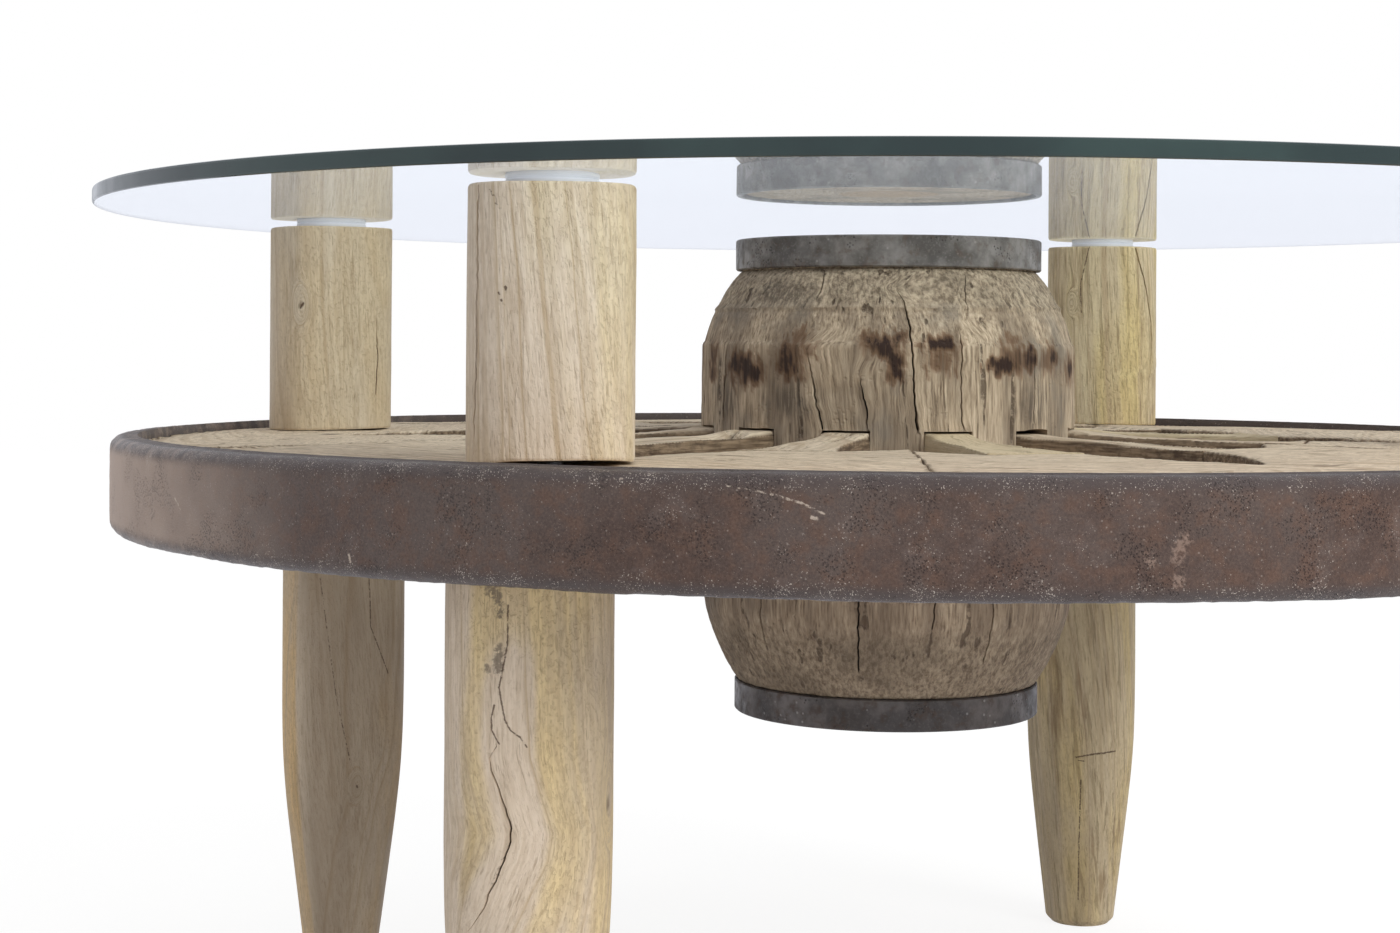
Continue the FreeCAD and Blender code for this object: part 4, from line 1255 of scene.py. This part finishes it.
for blank in (lower_blank, upper_blank):
    bpy.data.objects.remove(blank)

stud_finish = new_finish("plain stud steel")
place = own_place()
age = aged(place, 60.0, 300.0, 900.0)
colour = blend(steps(age["Dirt"], 0.4, 0.7), tint(168, 168, 172), tint(120, 116, 114))
surface(Base_Color=colour, Metallic=1.0, Roughness=steps(age["Dirt"], 0.3, 0.7, 0.3, 0.55),
    Normal=relief(age["Dirt"], 0.3, 0.0003))
give_finish("leg_studs", stud_finish)


# Four pads: thick discs of clear soft plastic, stuck on top of the posts so that the glass neither
# slips nor touches the wood. Their edges are moulded round.
pad_radius, pad_core, pad_low, pad_high = 0.0215, 0.0002, 0.476, 0.479
pad_pieces = []
for name in legs:
    x, y = leg_stands(name)[:2]
    outline = [(pad_core, pad_low), (pad_radius - 0.0005, pad_low), (pad_radius - 0.0001, pad_low + 0.0006),
        (pad_radius, pad_low + 0.0015), (pad_radius - 0.0001, pad_high - 0.0006),
        (pad_radius - 0.0006, pad_high), (pad_radius - 0.003, pad_high), (pad_core, pad_high)]
    pad = turn_on_lathe("pad", outline, 64, 0.0)
    set_points(pad, points_of(pad) + np.array([x, y, 0]))
    pad_pieces.append(pad)
deselect()
for pad in pad_pieces:
    pad.select_set(True)
bpy.context.view_layer.objects.active = pad_pieces[0]
bpy.ops.object.join()
pads = bpy.context.view_layer.objects.active
pads.name = "clear_pads"
bpy.ops.object.shade_smooth_by_angle(angle=math.radians(50))
pad_finish = new_finish("clear soft pad")
place = own_place()
cloud = grainy(place, 160.0, 2.0, 0.5)
colour = blend(cloud, (0.80, 0.80, 0.87, 1), (0.88, 0.88, 0.94, 1))
surface(Base_Color=colour, Roughness=steps(cloud, 0.3, 0.7, 0.28, 0.38), IOR=1.46, Transmission_Weight=0.25,
    Normal=relief(cloud, 0.1, 0.0002))
pads.data.materials.append(pad_finish)
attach(pads, "table_base")
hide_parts("glass_pads")


# The top: a round sheet of float glass, cut and ground at its edge, lying loose on the pads. Seen
# along the sheet its edge is dark green, because light comes through so much of it.
glass_radius, glass_low, glass_high, arris = 0.4499, 0.479, 0.487, 0.0012
deselect()
bpy.ops.mesh.primitive_cylinder_add(vertices=360, radius=glass_radius, depth=glass_high - glass_low,
    location=(0, 0, (glass_high + glass_low) / 2))
glass = bpy.context.object
glass.name = "float_glass"
bpy.ops.object.transform_apply(location=True, rotation=True, scale=True)
ground = glass.modifiers.new("ground arris", "BEVEL")
ground.width = arris
ground.segments = 2
ground.limit_method = "ANGLE"
ground.angle_limit = math.radians(60)
bpy.ops.object.modifier_apply(modifier=ground.name)
bpy.ops.object.shade_smooth_by_angle(angle=math.radians(20))
bpy.ops.object.mode_set(mode="EDIT")
bpy.ops.mesh.select_mode(type="FACE")
bpy.ops.mesh.select_all(action="DESELECT")
skin = bmesh.from_edit_mesh(glass.data)
for face in skin.faces:
    face.select = abs(face.normal.z) < 0.99
bmesh.update_edit_mesh(glass.data)
glass.data.materials.append(None)
glass.data.materials.append(None)
glass.active_material_index = 1
bpy.ops.object.material_slot_assign()
bpy.ops.object.mode_set(mode="OBJECT")
for slot_number, (finish_name, frosted) in enumerate((("float glass", False), ("ground glass edge", True))):
    finish = new_finish(finish_name)
    place = own_place()
    smears = grainy(place, 9.0, 4.0, 0.6)
    if frosted:
        colour = blend(steps(smears, 0.35, 0.65), tint(28, 47, 46), tint(44, 65, 62))
        smooth = steps(grainy(place, 60.0, 3.0, 0.6), 0.3, 0.7, 0.12, 0.26)
    else:
        colour = blend(smears, (0.97, 0.985, 0.985, 1), (0.98, 0.99, 0.99, 1))
        smooth = steps(smears, 0.55, 0.8, 0.0, 0.02)
    clear = shader("BsdfPrincipled",
        {"Base Color": colour, "IOR": 1.5, "Roughness": smooth,
            "Transmission Weight": 0.1 if frosted else 1.0})
    no_shadow = shader("BsdfTransparent", {"Color": (0.93, 0.96, 0.95, 1)})
    lamp_ray = shader("LightPath").outputs["Is Shadow Ray"]
    glass_seen = shader("MixShader", {0: lamp_ray, 1: clear.outputs[0], 2: no_shadow.outputs[0]})
    depth_tint = shader("VolumeAbsorption", {"Color": (0.35, 0.72, 0.66, 1), "Density": 4.0})
    shader("OutputMaterial", {"Surface": glass_seen.outputs[0], "Volume": depth_tint.outputs[0]})
    glass.data.materials[slot_number] = finish
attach(glass, "glass_top")
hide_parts("glass_top")


bpy.context.view_layer.update()
